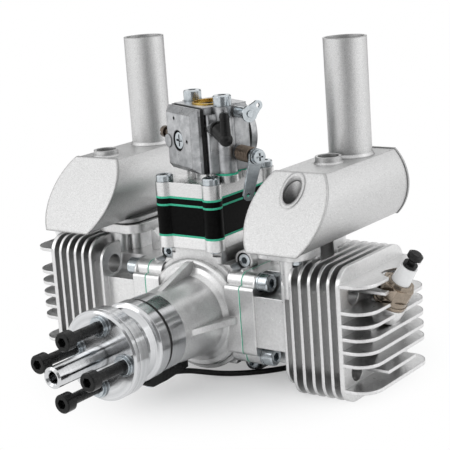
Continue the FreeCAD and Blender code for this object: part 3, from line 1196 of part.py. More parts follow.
def hall_sensor():
    top = SENSOR_TOP
    gap = HUB_REAR_R - RING_R + 0.45
    half = SENSOR_WIDTH / 2
    rear = SENSOR_FRONT + SENSOR_LENGTH
    front = prism([(-half, SENSOR_FRONT, top - gap), (-half, RING_FACE - 0.3, top - gap), (-half, RING_FACE - 0.3, top),
                   (-half, rear, top), (-half, rear, top - 3.2), (-half, SENSOR_FRONT + 15, top - SENSOR_HEIGHT),
                   (-half, SENSOR_FRONT + 5, top - SENSOR_HEIGHT), (-half, SENSOR_FRONT, top - gap - 1.4)],
                  (SENSOR_WIDTH, 0, 0))
    saddle = prism([(-3.5, RING_FACE, top + 1.2), (3.5, RING_FACE, top + 1.2), (3.5, RING_FACE, top - 1),
                    (-3.5, RING_FACE, top - 1)], (0, RING_LENGTH, 0))
    body = fuse([front, saddle])
    seat = ring_y(RING_R + 9, 0.1, RING_FACE - 0.1, NOSE_FACE).common(body)
    body = body.cut(cyl_y(RING_R, RING_FACE - 0.1, NOSE_FACE)).cut(nose_cone())
    hole = cyl_z(1.6, top - 8, top + 3, 0, SENSOR_FRONT + 9.5)
    return body.cut(hole) if seat.Volume > 0 else body


def sensor_screw():
    y = SENSOR_FRONT + 9.5
    seat = SENSOR_TOP - SENSOR_HEIGHT
    return fuse([cyl_z(2.6, seat - 1.4, seat, 0, y), cyl_z(1.5, seat, SENSOR_TOP - 0.2, 0, y)])


# Route of the sensor lead, by hand, in the frame of the finished part
LEAD_ROUTE = [(0.0, -77.0, -23.2), (1.0, -70.0, -24.6), (5.0, -63.0, -27.0), (12.0, -56.0, -29.2), (21.0, -49.5, -29.6),
              (30.0, -41.5, -29.6), (37.5, -30.5, -29.6), (40.5, -17.0, -29.6), (39.0, -3.0, -29.6), (33.0, 9.0, -29.6),
              (23.5, 18.0, -29.6), (13.0, 22.5, -29.6), (1.5, 21.5, -29.6)]


def tube_along(points, radius):
    """Tube of straight runs joined by tangent arcs; prints nothing, returns the solid and the smallest radius."""
    corners = [V(*p) for p in points]
    edges = []
    start = corners[0]
    radii = []
    for before, here, after in zip(corners, corners[1:], corners[2:]):
        a = (before - here)
        b = (after - here)
        shorter = min(a.Length, b.Length)
        turn = pi - a.getAngle(b)
        setback = 0.45 * shorter
        radii.append(setback / tan(turn / 2))
        a.normalize()
        b.normalize()
        p = here + a * setback
        q = here + b * setback
        bisector = a + b
        bisector.normalize()
        centre = here + bisector * (setback / tan(turn / 2) / cos(turn / 2) if turn > 1e-6 else 0)
        middle = centre - bisector * (setback / tan(turn / 2))
        edges.append(Part.makeLine(start, p))
        edges.append(Part.Arc(p, middle, q).toShape())
        start = q
    edges.append(Part.makeLine(start, corners[-1]))
    path = Part.Wire(edges)
    direction = corners[1] - corners[0]
    circle = Part.Wire(Part.Circle(corners[0], direction, radius).toShape())
    solid = path.makePipeShell([circle], True, False)
    return solid, path.Length, radii


def sensor_lead():
    solid, length, radii = tube_along(LEAD_ROUTE, LEAD_D / 2)
    print("lead length", round(length, 1), "volume ratio", round(solid.Volume / (pi * LEAD_D ** 2 / 4 * length), 4),
          "smallest arc", round(min(radii), 1))
    return solid


def lead_coil():
    """Outer form of the wound spare length, lying on the floor plane."""
    outer = COIL_MEAN_R + LEAD_D
    inner = COIL_MEAN_R - LEAD_D
    y = COIL_Y
    ring = cyl_z(outer, FLOOR_Z + 0.1, FLOOR_Z + COIL_HEIGHT, COIL_X, y)
    return ring.cut(cyl_z(inner, FLOOR_Z - 1, FLOOR_Z + COIL_HEIGHT + 1, COIL_X, y))


def lead_connector():
    y = COIL_Y
    z = FLOOR_Z + 0.1
    x = COIL_X - COIL_MEAN_R - LEAD_D - 0.2
    body = rounded_prism("y", y - 7, y + 7, x - 7.5, x, z, z + 4.2, 0.6)
    slots = [box(x - 6.9 + 2.4 * k, x - 5.3 + 2.4 * k, y + 1, y + 8, z + 1.2, z + 3.0) for k in range(3)]
    return cut(body, slots)


# Build every piece, move it to the part's origin and write it

def write(name, shape, moved=True):
    solid = shape.copy()
    if moved:
        solid.translate(V(0, -MOUNT_FACE_Y, 0))
    if not solid.isValid():
        print("not valid:", name)
    solid.exportStep("parts/%s.step" % name)


def pair(shape):
    return group([shape, turned(shape)])


def main():
    os.makedirs("parts", exist_ok=True)
    front, rear = crankcase_halves()
    write("crankcase_front", front)
    write("crankcase_rear", rear)
    write("case_screws", case_screws())
    write("nose_bearing", bearing(NOSE_BEARING_D, NOSE_BEARING_W, NOSE_FACE))
    write("main_bearings", group([bearing(MAIN_BEARING_D, MAIN_BEARING_W, -CAVITY_HALF - MAIN_BEARING_W),
                                  bearing(MAIN_BEARING_D, MAIN_BEARING_W, CAVITY_HALF)]))
    write("shaft_seal", shaft_seal())
    write("nose_ring", nose_ring())
    write("rear_cover", rear_cover())

    write("crankshaft", crankshaft())
    write("prop_hub", prop_hub())
    write("prop_washer", prop_washer())
    write("prop_stud", prop_stud())
    write("prop_bolts", prop_bolts())
    write("bolt_washers", bolt_washers())

    for name, piece in (("piston", piston_right()), ("wrist_pin", wrist_pin_right()), ("rod", rod_right()),
                        ("crankpin", crankpin_right()), ("cylinder", cylinder_right())):
        write(name + "_right", piece)
        write(name + "_left", turned(piece))
    write("base_gaskets", pair(base_gasket()))
    write("cylinder_screws", cylinder_screws())

    shell, ring = plug_shell()
    write("plug_shells", group([shell, ring, turned(shell), turned(ring)]))
    write("plug_insulators", pair(plug_insulator()))
    write("plug_terminals", pair(plug_terminal()))

    low, high = port_screw_ys()
    write("exhaust_gaskets", pair(exhaust_gasket()))
    write("silencer_right", silencer(high, low))
    write("silencer_left", mirrored(silencer(-high, None)))
    write("silencer_end_plates", group([front_plate(low), rear_cap(), mirrored(front_plate(None)), mirrored(rear_cap())]))
    write("outlet_tubes", group([outlet_tube(), mirrored(outlet_tube())]))

    write("intake_gaskets", intake_gaskets())
    write("spacer_block", stack_layer(SPACER_Z, SPACER_Z + SPACER_T))
    write("reed_plate", reed_plate())
    write("reed_petals", reed_petals())
    write("intake_adapter", intake_adapter())
    write("intake_screws", intake_screws())

    write("carb_body", carb_frame(carb_body()))
    write("throat_rim", carb_frame(throat_rim()))
    write("carb_gaskets", carb_frame(carb_gaskets()))
    write("metering_cover", carb_frame(metering_cover()))
    write("pump_cover", carb_frame(pump_cover()))
    write("cover_screws", cover_screws())
    write("fuel_elbow", fuel_elbow())
    write("mixture_screws", mixture_screws())
    shaft, plate = throttle_parts()
    write("throttle_shaft", shaft)
    write("throttle_plate", plate)
    write("throttle_lever", carb_frame(lever(THROTTLE_LEVER_U, THROTTLE_Z, THROTTLE_LEVER_LENGTH, THROTTLE_STAND, 3.7, 2.6)))
    write("lever_screw", lever_screw())
    write("throttle_spring", throttle_spring())
    shaft, plate = choke_parts()
    write("choke_shaft", shaft)
    write("choke_plate", plate)
    write("choke_lever", carb_frame(lever(CHOKE_LEVER_U, CHOKE_Z, CHOKE_LEVER_LENGTH, CHOKE_STAND, 3.8, 2.3)))

    write("hall_sensor", hall_sensor())
    coil = lead_coil()
    coil.translate(V(0, -MOUNT_FACE_Y, 0))
    write("sensor_lead", sensor_lead().cut(coil), moved=False)
    write("lead_coil", coil, moved=False)
    write("lead_connector", lead_connector())


main()
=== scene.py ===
import json
from math import cos, pi, radians, sin

import bmesh
import bpy
from mathutils import Matrix, Vector

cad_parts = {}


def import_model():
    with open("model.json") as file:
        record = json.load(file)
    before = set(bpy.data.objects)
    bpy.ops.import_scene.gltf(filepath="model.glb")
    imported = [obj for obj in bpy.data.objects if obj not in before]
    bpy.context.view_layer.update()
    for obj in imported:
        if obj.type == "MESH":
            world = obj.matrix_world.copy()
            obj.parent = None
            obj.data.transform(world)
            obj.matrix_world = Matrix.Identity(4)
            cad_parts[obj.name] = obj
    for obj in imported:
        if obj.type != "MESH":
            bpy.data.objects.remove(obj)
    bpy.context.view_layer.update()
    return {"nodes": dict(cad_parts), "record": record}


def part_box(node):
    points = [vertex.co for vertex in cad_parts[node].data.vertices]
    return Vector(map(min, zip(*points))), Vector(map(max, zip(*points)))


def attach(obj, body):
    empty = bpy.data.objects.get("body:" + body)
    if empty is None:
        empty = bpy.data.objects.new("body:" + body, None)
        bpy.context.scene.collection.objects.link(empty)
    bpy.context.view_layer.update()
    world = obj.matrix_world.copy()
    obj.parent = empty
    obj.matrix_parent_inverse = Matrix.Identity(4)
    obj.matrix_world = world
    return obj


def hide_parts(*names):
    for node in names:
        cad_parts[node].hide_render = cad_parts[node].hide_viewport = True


# Flat twin two-stroke engine on a white sweep, in metres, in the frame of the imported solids:
# the crank axis is Y, the propeller is at -Y and +Z is up.

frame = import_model()
NODES = frame["nodes"]
MM = 0.001

# Camera: direction of view, roll and place as they were fitted to the photograph of 450 by 450 pixels
PHOTO_SIDE = 450
CAMERA_AZIMUTH = 37.391
CAMERA_ELEVATION = 12.228
CAMERA_ROLL = -4.181
CAMERA_PLACE = (0.3924, -0.5477, 0.1913)
FOCAL_PIXELS = 1383.68
CENTRE_X = 217.61
CENTRE_Y = 196.29
SENSOR = 36.0

# Floor under the lowest fins
FLOOR_Z = -0.031

# Ignition lead, and the coil of its spare length on the floor, whose crossing and climb are in turns
LEAD_D = 0.0026
LEAD_ROUTE = [(0.0, -77.0, -23.2), (1.0, -70.0, -24.6), (5.0, -63.0, -27.0), (12.0, -56.0, -29.2),
              (21.0, -49.5, -29.6), (30.0, -41.5, -29.6), (37.5, -30.5, -29.6), (40.5, -17.0, -29.6),
              (39.0, -3.0, -29.6), (33.0, 9.0, -29.6), (23.5, 18.0, -29.6), (13.0, 22.5, -29.6),
              (1.5, 21.5, -29.6)]
COIL_TURNS = 2
COIL_STEPS = 12
COIL_START = radians(-57)
COIL_SPREAD = 0.0004
COIL_WANDER = 3.1
COIL_CROSSING = 0.75
COIL_CLIMB = 0.4
COIL_LIFT = 1.08 * LEAD_D

# Painted shade: a dark ring that fills the gap behind the hub, over the front edge of the polished ring
SHADE_RING_RISE = 0.03 * MM
SHADE_RING_CLEARANCE = 0.1 * MM
SHADE_RING_COVER = 1.0 * MM
SHADE_RING_WIDTH = 2.0 * MM
SHADE_RING_STEPS = 96

# The carburettor's own frame, whose u axis points to the levers, and the spring of the throttle lever in it
CARB_TURN = radians(-24)
CARB_PLACE = Vector((4.4, -35.5, 66.5)) * MM
THROTTLE_HEIGHT = 9.0 * MM
SPRING_START = 19.7 * MM
SPRING_END = 30.8 * MM
SPRING_TURNS = 8
SPRING_STEPS = 16
SPRING_R = 3.35 * MM
SPRING_WIRE_R = 0.5 * MM

# Look of the studio: the floor, how white its paper is close to the object, where the white takes over
# from the shadow, the light of the room, and the place that the lamps point at
FLOOR_SIDE = 8
PAPER_WHITENESS = 0.35
SHADOW_MIDDLE_Y = -0.03
SHADOW_NEAR = 0.04
SHADOW_FAR = 0.11
ROOM_LIGHT = (0.8, 0.81, 0.82)
LAMP_AIM = Vector((0, -0.03, 0.04))
FLAG_STEPS = 16
FLAG_LIFT = 0.001

# Thread of the hub's screws: where it begins along Y, how fast it sets in, and the scale of its waves
THREAD_START = -0.1405
THREAD_RUN_IN = 0.0004
THREAD_WAVE = 420

# Ambient occlusion at which the painted shade of a crevice is darkest, half way and clear
CREVICE_DEEP = 0.12
CREVICE_HALF = 0.55
CREVICE_CLEAR = 0.9

# Sockets of a colour mix node, which share their names with those of its other data types
MIX_FACTOR = 0
MIX_FIRST = 6
MIX_SECOND = 7
MIX_RESULT = 2


# Node tree helpers

class Shader:
    """A material with a Principled shader and short calls for the nodes that feed it."""

    def __init__(self, name, base, metallic, roughness):
        self.material = bpy.data.materials.new(name)
        self.material.use_nodes = True
        self.tree = self.material.node_tree
        self.shader = self.tree.nodes["Principled BSDF"]
        self.shader.inputs["Base Color"].default_value = (*base, 1)
        self.shader.inputs["Metallic"].default_value = metallic
        self.shader.inputs["Roughness"].default_value = roughness
        self.bumps = None
        self.painted_light = []
        coordinates = self.tree.nodes.new("ShaderNodeTexCoord")
        self.place = coordinates.outputs["Object"]

    def link(self, source, target):
        self.tree.links.new(source, target)

    def noise(self, per_metre, detail=3.0, rough=0.55, stretch=None):
        node = self.tree.nodes.new("ShaderNodeTexNoise")
        node.inputs["Scale"].default_value = per_metre
        node.inputs["Detail"].default_value = detail
        node.inputs["Roughness"].default_value = rough
        source = self.place
        if stretch:
            mapping = self.tree.nodes.new("ShaderNodeMapping")
            mapping.inputs["Scale"].default_value = stretch
            self.link(self.place, mapping.inputs["Vector"])
            source = mapping.outputs["Vector"]
        self.link(source, node.inputs["Vector"])
        return node.outputs["Fac"]

    def radial(self, axis):
        """Distance from an axis plus the place along it, which changes over turned faces and rims alike."""
        parts = self.tree.nodes.new("ShaderNodeSeparateXYZ")
        self.link(self.place, parts.inputs["Vector"])
        join = self.tree.nodes.new("ShaderNodeCombineXYZ")
        for name in "XYZ":
            if name != axis:
                self.link(parts.outputs[name], join.inputs[name])
        length = self.tree.nodes.new("ShaderNodeVectorMath")
        length.operation = "LENGTH"
        self.link(join.outputs["Vector"], length.inputs[0])
        total = self.tree.nodes.new("ShaderNodeMath")
        total.operation = "ADD"
        self.link(length.outputs["Value"], total.inputs[0])
        self.link(parts.outputs[axis], total.inputs[1])
        return total.outputs["Value"]

    def rings(self, axis, per_metre):
        """Fine turning marks: noise that runs along the profile only."""
        node = self.tree.nodes.new("ShaderNodeTexNoise")
        node.noise_dimensions = "1D"
        node.inputs["Scale"].default_value = per_metre
        node.inputs["Detail"].default_value = 2.0
        self.link(self.radial(axis), node.inputs["W"])
        return node.outputs["Fac"]

    def ramp(self, source, stops):
        node = self.tree.nodes.new("ShaderNodeValToRGB")
        elements = node.color_ramp.elements
        elements[0].position, elements[0].color = stops[0][0], (*stops[0][1], 1)
        elements[1].position, elements[1].color = stops[-1][0], (*stops[-1][1], 1)
        for place, colour in stops[1:-1]:
            elements.new(place).color = (*colour, 1)
        self.link(source, node.inputs["Fac"])
        return node.outputs["Color"]

    def spread(self, source, low, high, from_low=0.3, from_high=0.7):
        node = self.tree.nodes.new("ShaderNodeMapRange")
        node.inputs["From Min"].default_value = from_low
        node.inputs["From Max"].default_value = from_high
        node.inputs["To Min"].default_value = low
        node.inputs["To Max"].default_value = high
        self.link(source, node.inputs["Value"])
        return node.outputs["Result"]

    def painted_crevice_shade(self, reach, darkest):
        """Painted shade in narrow gaps, from ambient occlusion multiplied into the base colour; it has to
        be called before colour.
        """
        node = self.tree.nodes.new("ShaderNodeAmbientOcclusion")
        node.samples = 6
        node.inputs["Distance"].default_value = reach
        middle = darkest + (1 - darkest) * 0.6
        stops = [(CREVICE_DEEP, grey(darkest)), (CREVICE_HALF, grey(middle)), (CREVICE_CLEAR, grey(1))]
        self.painted_light.append(self.ramp(node.outputs["AO"], stops))

    def turned(self, axis, strength):
        """Reflections drawn out across the fine grooves that a lathe leaves round the axis."""
        node = self.tree.nodes.new("ShaderNodeTangent")
        node.direction_type = "RADIAL"
        node.axis = axis
        self.shader.inputs["Anisotropic"].default_value = strength
        self.shader.inputs["Anisotropic Rotation"].default_value = 0.25
        self.link(node.outputs["Tangent"], self.shader.inputs["Tangent"])

    def painted_edge_light(self, radius, stops):
        """Painted shade or painted highlight along edges, as the stops say, from how far the rounded normal
        leaves the flat one; called before colour.
        """
        rounded = self.tree.nodes.new("ShaderNodeBevel")
        rounded.samples = 4
        rounded.inputs["Radius"].default_value = radius
        flat = self.tree.nodes.new("ShaderNodeNewGeometry")
        dot = self.tree.nodes.new("ShaderNodeVectorMath")
        dot.operation = "DOT_PRODUCT"
        self.link(rounded.outputs["Normal"], dot.inputs[0])
        self.link(flat.outputs["Normal"], dot.inputs[1])
        self.painted_light.append(self.ramp(dot.outputs["Value"], stops))

    def colour(self, source, stops):
        result = self.ramp(source, stops)
        # Painted shade of crevices and painted light along edges, multiplied into the base colour
        for painted_mark in self.painted_light:
            mix = self.tree.nodes.new("ShaderNodeMix")
            mix.data_type = "RGBA"
            mix.blend_type = "MULTIPLY"
            mix.inputs[MIX_FACTOR].default_value = 1.0
            self.link(result, mix.inputs[MIX_FIRST])
            self.link(painted_mark, mix.inputs[MIX_SECOND])
            result = mix.outputs[MIX_RESULT]
        self.link(result, self.shader.inputs["Base Color"])

    def roughness(self, source, low, high):
        self.link(self.spread(source, low, high), self.shader.inputs["Roughness"])

    def bump(self, source, strength, distance):
        node = self.tree.nodes.new("ShaderNodeBump")
        node.inputs["Strength"].default_value = strength
        node.inputs["Distance"].default_value = distance
        self.link(source, node.inputs["Height"])
        if self.bumps:
            self.link(self.bumps, node.inputs["Normal"])
        self.bumps = node.outputs["Normal"]
        self.link(self.bumps, self.shader.inputs["Normal"])

    def soft_edges(self, radius):
        """Rounds the look of sharp edges; it has to be called before bump."""
        node = self.tree.nodes.new("ShaderNodeBevel")
        node.samples = 4
        node.inputs["Radius"].default_value = radius
        self.bumps = node.outputs["Normal"]
        self.link(self.bumps, self.shader.inputs["Normal"])


def grey(value, blue=0.0):
    return (value, value + blue * 0.4, value + blue)


# Materials: base colour, metal and roughness first, then painted shade in crevices and painted light along
# edges, grain, spread of roughness and relief

def blasted_aluminium(name="blasted_aluminium", edge=0.0006, level=1.0):
    s = Shader(name, grey(0.65 * level), 1.0, 0.46)
    s.soft_edges(edge)
    s.painted_crevice_shade(0.012, 0.4)
    # Painted shade along the edges, darkest where the rounded normal leaves the flat one most
    s.painted_edge_light(edge * 1.6, [(0.72, grey(0.7)), (0.9, grey(0.78)), (0.985, grey(1.0))])
    grain = s.noise(2600, 2.0, 0.65)
    s.colour(grain, [(0.34, grey(0.53 * level)), (0.5, grey(0.65 * level)), (0.68, grey(0.77 * level))])
    s.roughness(s.noise(900, 2.0), 0.38, 0.52)
    s.bump(grain, 0.4, 0.00012)
    s.bump(s.noise(70, 3.0), 0.12, 0.0006)
    return s.material


def cast_aluminium():
    s = Shader("cast_aluminium", grey(0.84), 1.0, 0.3)
    s.soft_edges(0.0007)
    s.painted_crevice_shade(0.01, 0.2)
    s.colour(s.noise(1300, 3.0), [(0.3, grey(0.77)), (0.5, grey(0.84)), (0.7, grey(0.91))])
    s.roughness(s.noise(420, 3.0), 0.3, 0.43)
    s.bump(s.noise(1900, 2.0), 0.22, 0.0001)
    s.bump(s.noise(110, 3.0), 0.16, 0.0005)
    return s.material


def finned_aluminium():
    s = Shader("finned_aluminium", grey(0.76), 1.0, 0.32)
    s.soft_edges(0.0007)
    s.painted_crevice_shade(0.007, 0.75)
    s.colour(s.noise(900, 3.0), [(0.3, grey(0.72)), (0.5, grey(0.77)), (0.7, grey(0.82))])
    s.roughness(s.noise(500, 3.0), 0.27, 0.4)
    s.bump(s.noise(1500, 2.0), 0.14, 0.00008)
    return s.material


def turned_aluminium():
    s = Shader("turned_aluminium", grey(0.64, 0.02), 1.0, 0.18)
    s.turned("Y", 0.7)
    s.soft_edges(0.0003)
    s.painted_crevice_shade(0.003, 0.1)
    s.colour(s.rings("Y", 700), [(0.3, grey(0.6, 0.02)), (0.7, grey(0.7, 0.02))])
    s.roughness(s.rings("Y", 2500), 0.14, 0.22)
    s.bump(s.rings("Y", 4000), 0.03, 0.00003)
    return s.material


def milled_aluminium():
    s = Shader("milled_aluminium", grey(0.74), 1.0, 0.3)
    s.soft_edges(0.0003)
    s.painted_crevice_shade(0.004, 0.2)
    s.colour(s.noise(500, 3.0, stretch=(1, 1, 12)), [(0.3, grey(0.66)), (0.7, grey(0.8))])
    s.roughness(s.noise(900, 3.0, stretch=(1, 1, 10)), 0.22, 0.36)
    s.bump(s.noise(1200, 2.0, stretch=(1, 1, 14)), 0.12, 0.00004)
    return s.material


def die_cast():
    s = Shader("die_cast", grey(0.48, 0.02), 1.0, 0.34)
    s.soft_edges(0.0004)
    s.painted_crevice_shade(0.005, 0.12)
    # Painted shade along the edges
    s.painted_edge_light(0.0009, [(0.75, grey(0.5)), (0.93, grey(0.62)), (0.99, grey(1.0))])
    stops = [(0.3, grey(0.34, 0.02)), (0.5, grey(0.48, 0.02)), (0.72, grey(0.63, 0.02))]
    s.colour(s.noise(230, 4.0, 0.65), stops)
    s.roughness(s.noise(420, 3.0), 0.26, 0.44)
    s.bump(s.noise(1500, 2.0), 0.3, 0.00009)
    s.bump(s.noise(190, 3.0), 0.16, 0.0003)
    return s.material


def plated(name, base, low, high):
    """Plated or ground metal whose roughness runs from low to high."""
    s = Shader(name, base, 1.0, (low + high) / 2)
    s.soft_edges(0.0002)
    s.painted_crevice_shade(0.002, 0.12)
    # Painted highlight along the edges, with the flats at 0.78 of it
    s.painted_edge_light(0.0004, [(0.8, grey(1.0)), (0.96, grey(0.78))])
    darker = tuple(c * 0.8 for c in base)
    s.colour(s.noise(700, 3.0), [(0.3, darker), (0.7, base)])
    s.roughness(s.noise(980, 3.0), low, high)
    s.bump(s.noise(2100, 2.0), 0.06, 0.00003)
    return s.material


def matte(name, base, lighter, low, high, scale=1200, bump=0.2, gloss=0.3):
    """Plastic, rubber, gasket paper, glaze or black oxide, whose grain runs between two colours."""
    s = Shader(name, base, 0.0, (low + high) / 2)
    s.shader.inputs["Specular IOR Level"].default_value = gloss
    s.soft_edges(0.0002)
    s.colour(s.noise(scale, 3.0), [(0.35, base), (0.7, lighter)])
    s.roughness(s.noise(scale * 0.6, 3.0), low, high)
    s.bump(s.noise(scale * 1.8, 2.0), bump, 0.00006)
    return s.material


def threaded_oxide():
    """Black screws whose shanks carry a thread behind the plain stretch under the head."""
    s = Shader("threaded_oxide", grey(0.008), 0.0, 0.3)
    s.shader.inputs["Specular IOR Level"].default_value = 0.24
    s.soft_edges(0.0002)
    s.colour(s.noise(900, 3.0), [(0.35, grey(0.004)), (0.7, grey(0.014))])
    s.roughness(s.noise(700, 3.0), 0.2, 0.34)
    wave = s.tree.nodes.new("ShaderNodeTexWave")
    wave.bands_direction = "Y"
    wave.inputs["Scale"].default_value = THREAD_WAVE
    s.link(s.place, wave.inputs["Vector"])
    parts = s.tree.nodes.new("ShaderNodeSeparateXYZ")
    s.link(s.place, parts.inputs["Vector"])
    where = s.spread(parts.outputs["Y"], 0, 1, THREAD_START, THREAD_START + THREAD_RUN_IN)
    product = s.tree.nodes.new("ShaderNodeMath")
    product.operation = "MULTIPLY"
    s.link(wave.outputs["Fac"], product.inputs[0])
    s.link(where, product.inputs[1])
    s.bump(product.outputs["Value"], 0.8, 0.0003)
    return s.material


MATERIALS = {
    "case": cast_aluminium(),
    "cylinder": finned_aluminium(),
    "silencer": blasted_aluminium(),
    "polished": turned_aluminium(),
    "machined": milled_aluminium(),
    "diecast": die_cast(),
    "zinc": plated("zinc_plate", (0.76, 0.82, 0.86), 0.14, 0.26),
    "nickel": plated("nickel_plate", (0.44, 0.37, 0.3), 0.1, 0.2),
    "steel": plated("ground_steel", (0.68, 0.68, 0.69), 0.2, 0.36),
    "bearing": plated("bearing_steel", (0.74, 0.75, 0.76), 0.14, 0.28),
    "spring_steel": plated("tempered_steel", (0.24, 0.19, 0.15), 0.26, 0.4),
    "black_oxide": matte("black_oxide", grey(0.005), grey(0.014), 0.2, 0.34, 900, 0.12, gloss=0.24),
    "brass": plated("brass", (1.0, 0.65, 0.15), 0.2, 0.34),
    "ceramic": matte("glazed_ceramic", grey(0.82), grey(0.86), 0.08, 0.16, 400, 0.03, gloss=0.5),
    "gasket": matte("green_gasket", (0.03, 0.42, 0.25), (0.08, 0.56, 0.36), 0.5, 0.7, 1500),
    "black_gasket": matte("black_gasket", grey(0.006), grey(0.014), 0.5, 0.7, 1500),
    "seal": matte("seal_rubber", grey(0.008), grey(0.018), 0.45, 0.65),
    "spacer": matte("moulded_spacer", grey(0.002), grey(0.005), 0.3, 0.44, 900, gloss=0.05),
    "black_plastic": matte("black_plastic", grey(0.005), grey(0.012), 0.24, 0.36, 800, gloss=0.22),
    "lead": matte("lead_jacket", grey(0.004), grey(0.009), 0.26, 0.4, 900, gloss=0.24),
}
for part in frame["record"]["subparts"]:
    mesh = NODES[part["node"]].data
    mesh.materials.clear()
    mesh.materials.append(MATERIALS[part["material_slot"]])
NODES["prop_bolts"].data.materials[0] = threaded_oxide()
NODES["prop_stud"].data.materials[0] = MATERIALS["polished"]
# End plates: the blasted finish at 0.91 of its colour, with a wider painted shade along their rims
NODES["silencer_end_plates"].data.materials[0] = blasted_aluminium("blasted_plate", 0.0011, 0.91)


def finish_piece(piece, body, slot):
    piece.data.materials.append(MATERIALS[slot])
    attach(piece, body)


# Lead of the ignition sensor

def nurbs_curve(name, points, radius):
    curve = bpy.data.curves.new(name, "CURVE")
    curve.dimensions = "3D"
    curve.bevel_depth = radius
    curve.bevel_resolution = 5
    curve.use_fill_caps = True
    spline = curve.splines.new("NURBS")
    spline.points.add(len(points) - 1)
    for point, place in zip(spline.points, points):
        point.co = (*place, 1)
    spline.order_u = 3
    spline.use_endpoint_u = True
    curve.resolution_u = 12
    piece = bpy.data.objects.new(name, curve)
    bpy.context.scene.collection.objects.link(piece)
    return piece


def lead_route():
    """The listed route, then the turns of the put-away coil on the floor."""
    points = [Vector(p) * MM for p in LEAD_ROUTE]
    low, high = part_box("lead_coil")
    middle = (low + high) / 2
    radius = (high.x - low.x) / 2 - LEAD_D
    lowest = low.z + LEAD_D / 2
    for k in range(COIL_TURNS * COIL_STEPS + 1):
        turned = k / COIL_STEPS
        angle = COIL_START - 2 * pi * turned
        lift = min(1.0, max(0.0, (turned - COIL_CROSSING) / COIL_CLIMB)) * COIL_LIFT
        swing = radius + COIL_SPREAD * cos(COIL_WANDER * turned)
        points.append(Vector((middle.x + swing * cos(angle), middle.y + swing * sin(angle), lowest + lift)))
    return points


def sensor_lead():
    lead = nurbs_curve("lead", lead_route(), LEAD_D / 2)
    finish_piece(lead, "engine", "lead")
    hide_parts("sensor_lead", "lead_coil")


# Painted shade: a dark ring in the gap behind the hub, over the front edge of the polished ring

def gap_shade_ring():
    ring_low, ring_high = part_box("nose_ring")
    hub_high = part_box("prop_hub")[1]
    outer = (ring_high.x - ring_low.x) / 2 + SHADE_RING_RISE
    bm = bmesh.new()
    for y in (hub_high.y + SHADE_RING_CLEARANCE, ring_low.y + SHADE_RING_COVER):
        for radius in (outer, outer - SHADE_RING_WIDTH):
            for k in range(SHADE_RING_STEPS):
                angle = 2 * pi * k / SHADE_RING_STEPS
                bm.verts.new((radius * cos(angle), y, radius * sin(angle)))
    bm.verts.ensure_lookup_table()
    for a, b in ((0, 1), (1, 3), (3, 2), (2, 0)):
        for k in range(SHADE_RING_STEPS):
            after = (k + 1) % SHADE_RING_STEPS
            corners = ((a, k), (a, after), (b, after), (b, k))
            bm.faces.new([bm.verts[circle * SHADE_RING_STEPS + step] for circle, step in corners])
    bmesh.ops.recalc_face_normals(bm, faces=bm.faces)
    mesh = bpy.data.meshes.new("gap_shade_ring")
    bm.to_mesh(mesh)
    bm.free()
    mesh.shade_smooth()
    shade_ring = bpy.data.objects.new("gap_shade_ring", mesh)
    bpy.context.scene.collection.objects.link(shade_ring)
    # The dark seal rubber gives the painted shade its colour
    finish_piece(shade_ring, "engine", "seal")


# Spring of the throttle lever

def carb_point(u, v, height):
    x = u * cos(CARB_TURN) - v * sin(CARB_TURN)
    y = u * sin(CARB_TURN) + v * cos(CARB_TURN)
    return CARB_PLACE + Vector((x, y, height))


def throttle_spring():
    count = SPRING_TURNS * SPRING_STEPS
    points = []
    for k in range(count + 1):
        angle = 2 * pi * k / SPRING_STEPS
        u = SPRING_START + (SPRING_END - SPRING_START) * k / count
        points.append(carb_point(u, SPRING_R * cos(angle), THROTTLE_HEIGHT + SPRING_R * sin(angle)))
    spring = nurbs_curve("spring_wire", points, SPRING_WIRE_R)
    finish_piece(spring, "engine", "spring_steel")
    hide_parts("throttle_spring")


# Backdrop, light and camera

def seen_rays(tree):
    """One where a ray comes from the camera, a glossy surface or through glass."""
    path = tree.nodes.new("ShaderNodeLightPath")
    total = path.outputs["Is Camera Ray"]
    for name in ("Is Glossy Ray", "Is Transmission Ray"):
        more = tree.nodes.new("ShaderNodeMath")
        more.operation = "MAXIMUM"
        tree.links.new(total, more.inputs[0])
        tree.links.new(path.outputs[name], more.inputs[1])
        total = more.outputs["Value"]
    return total


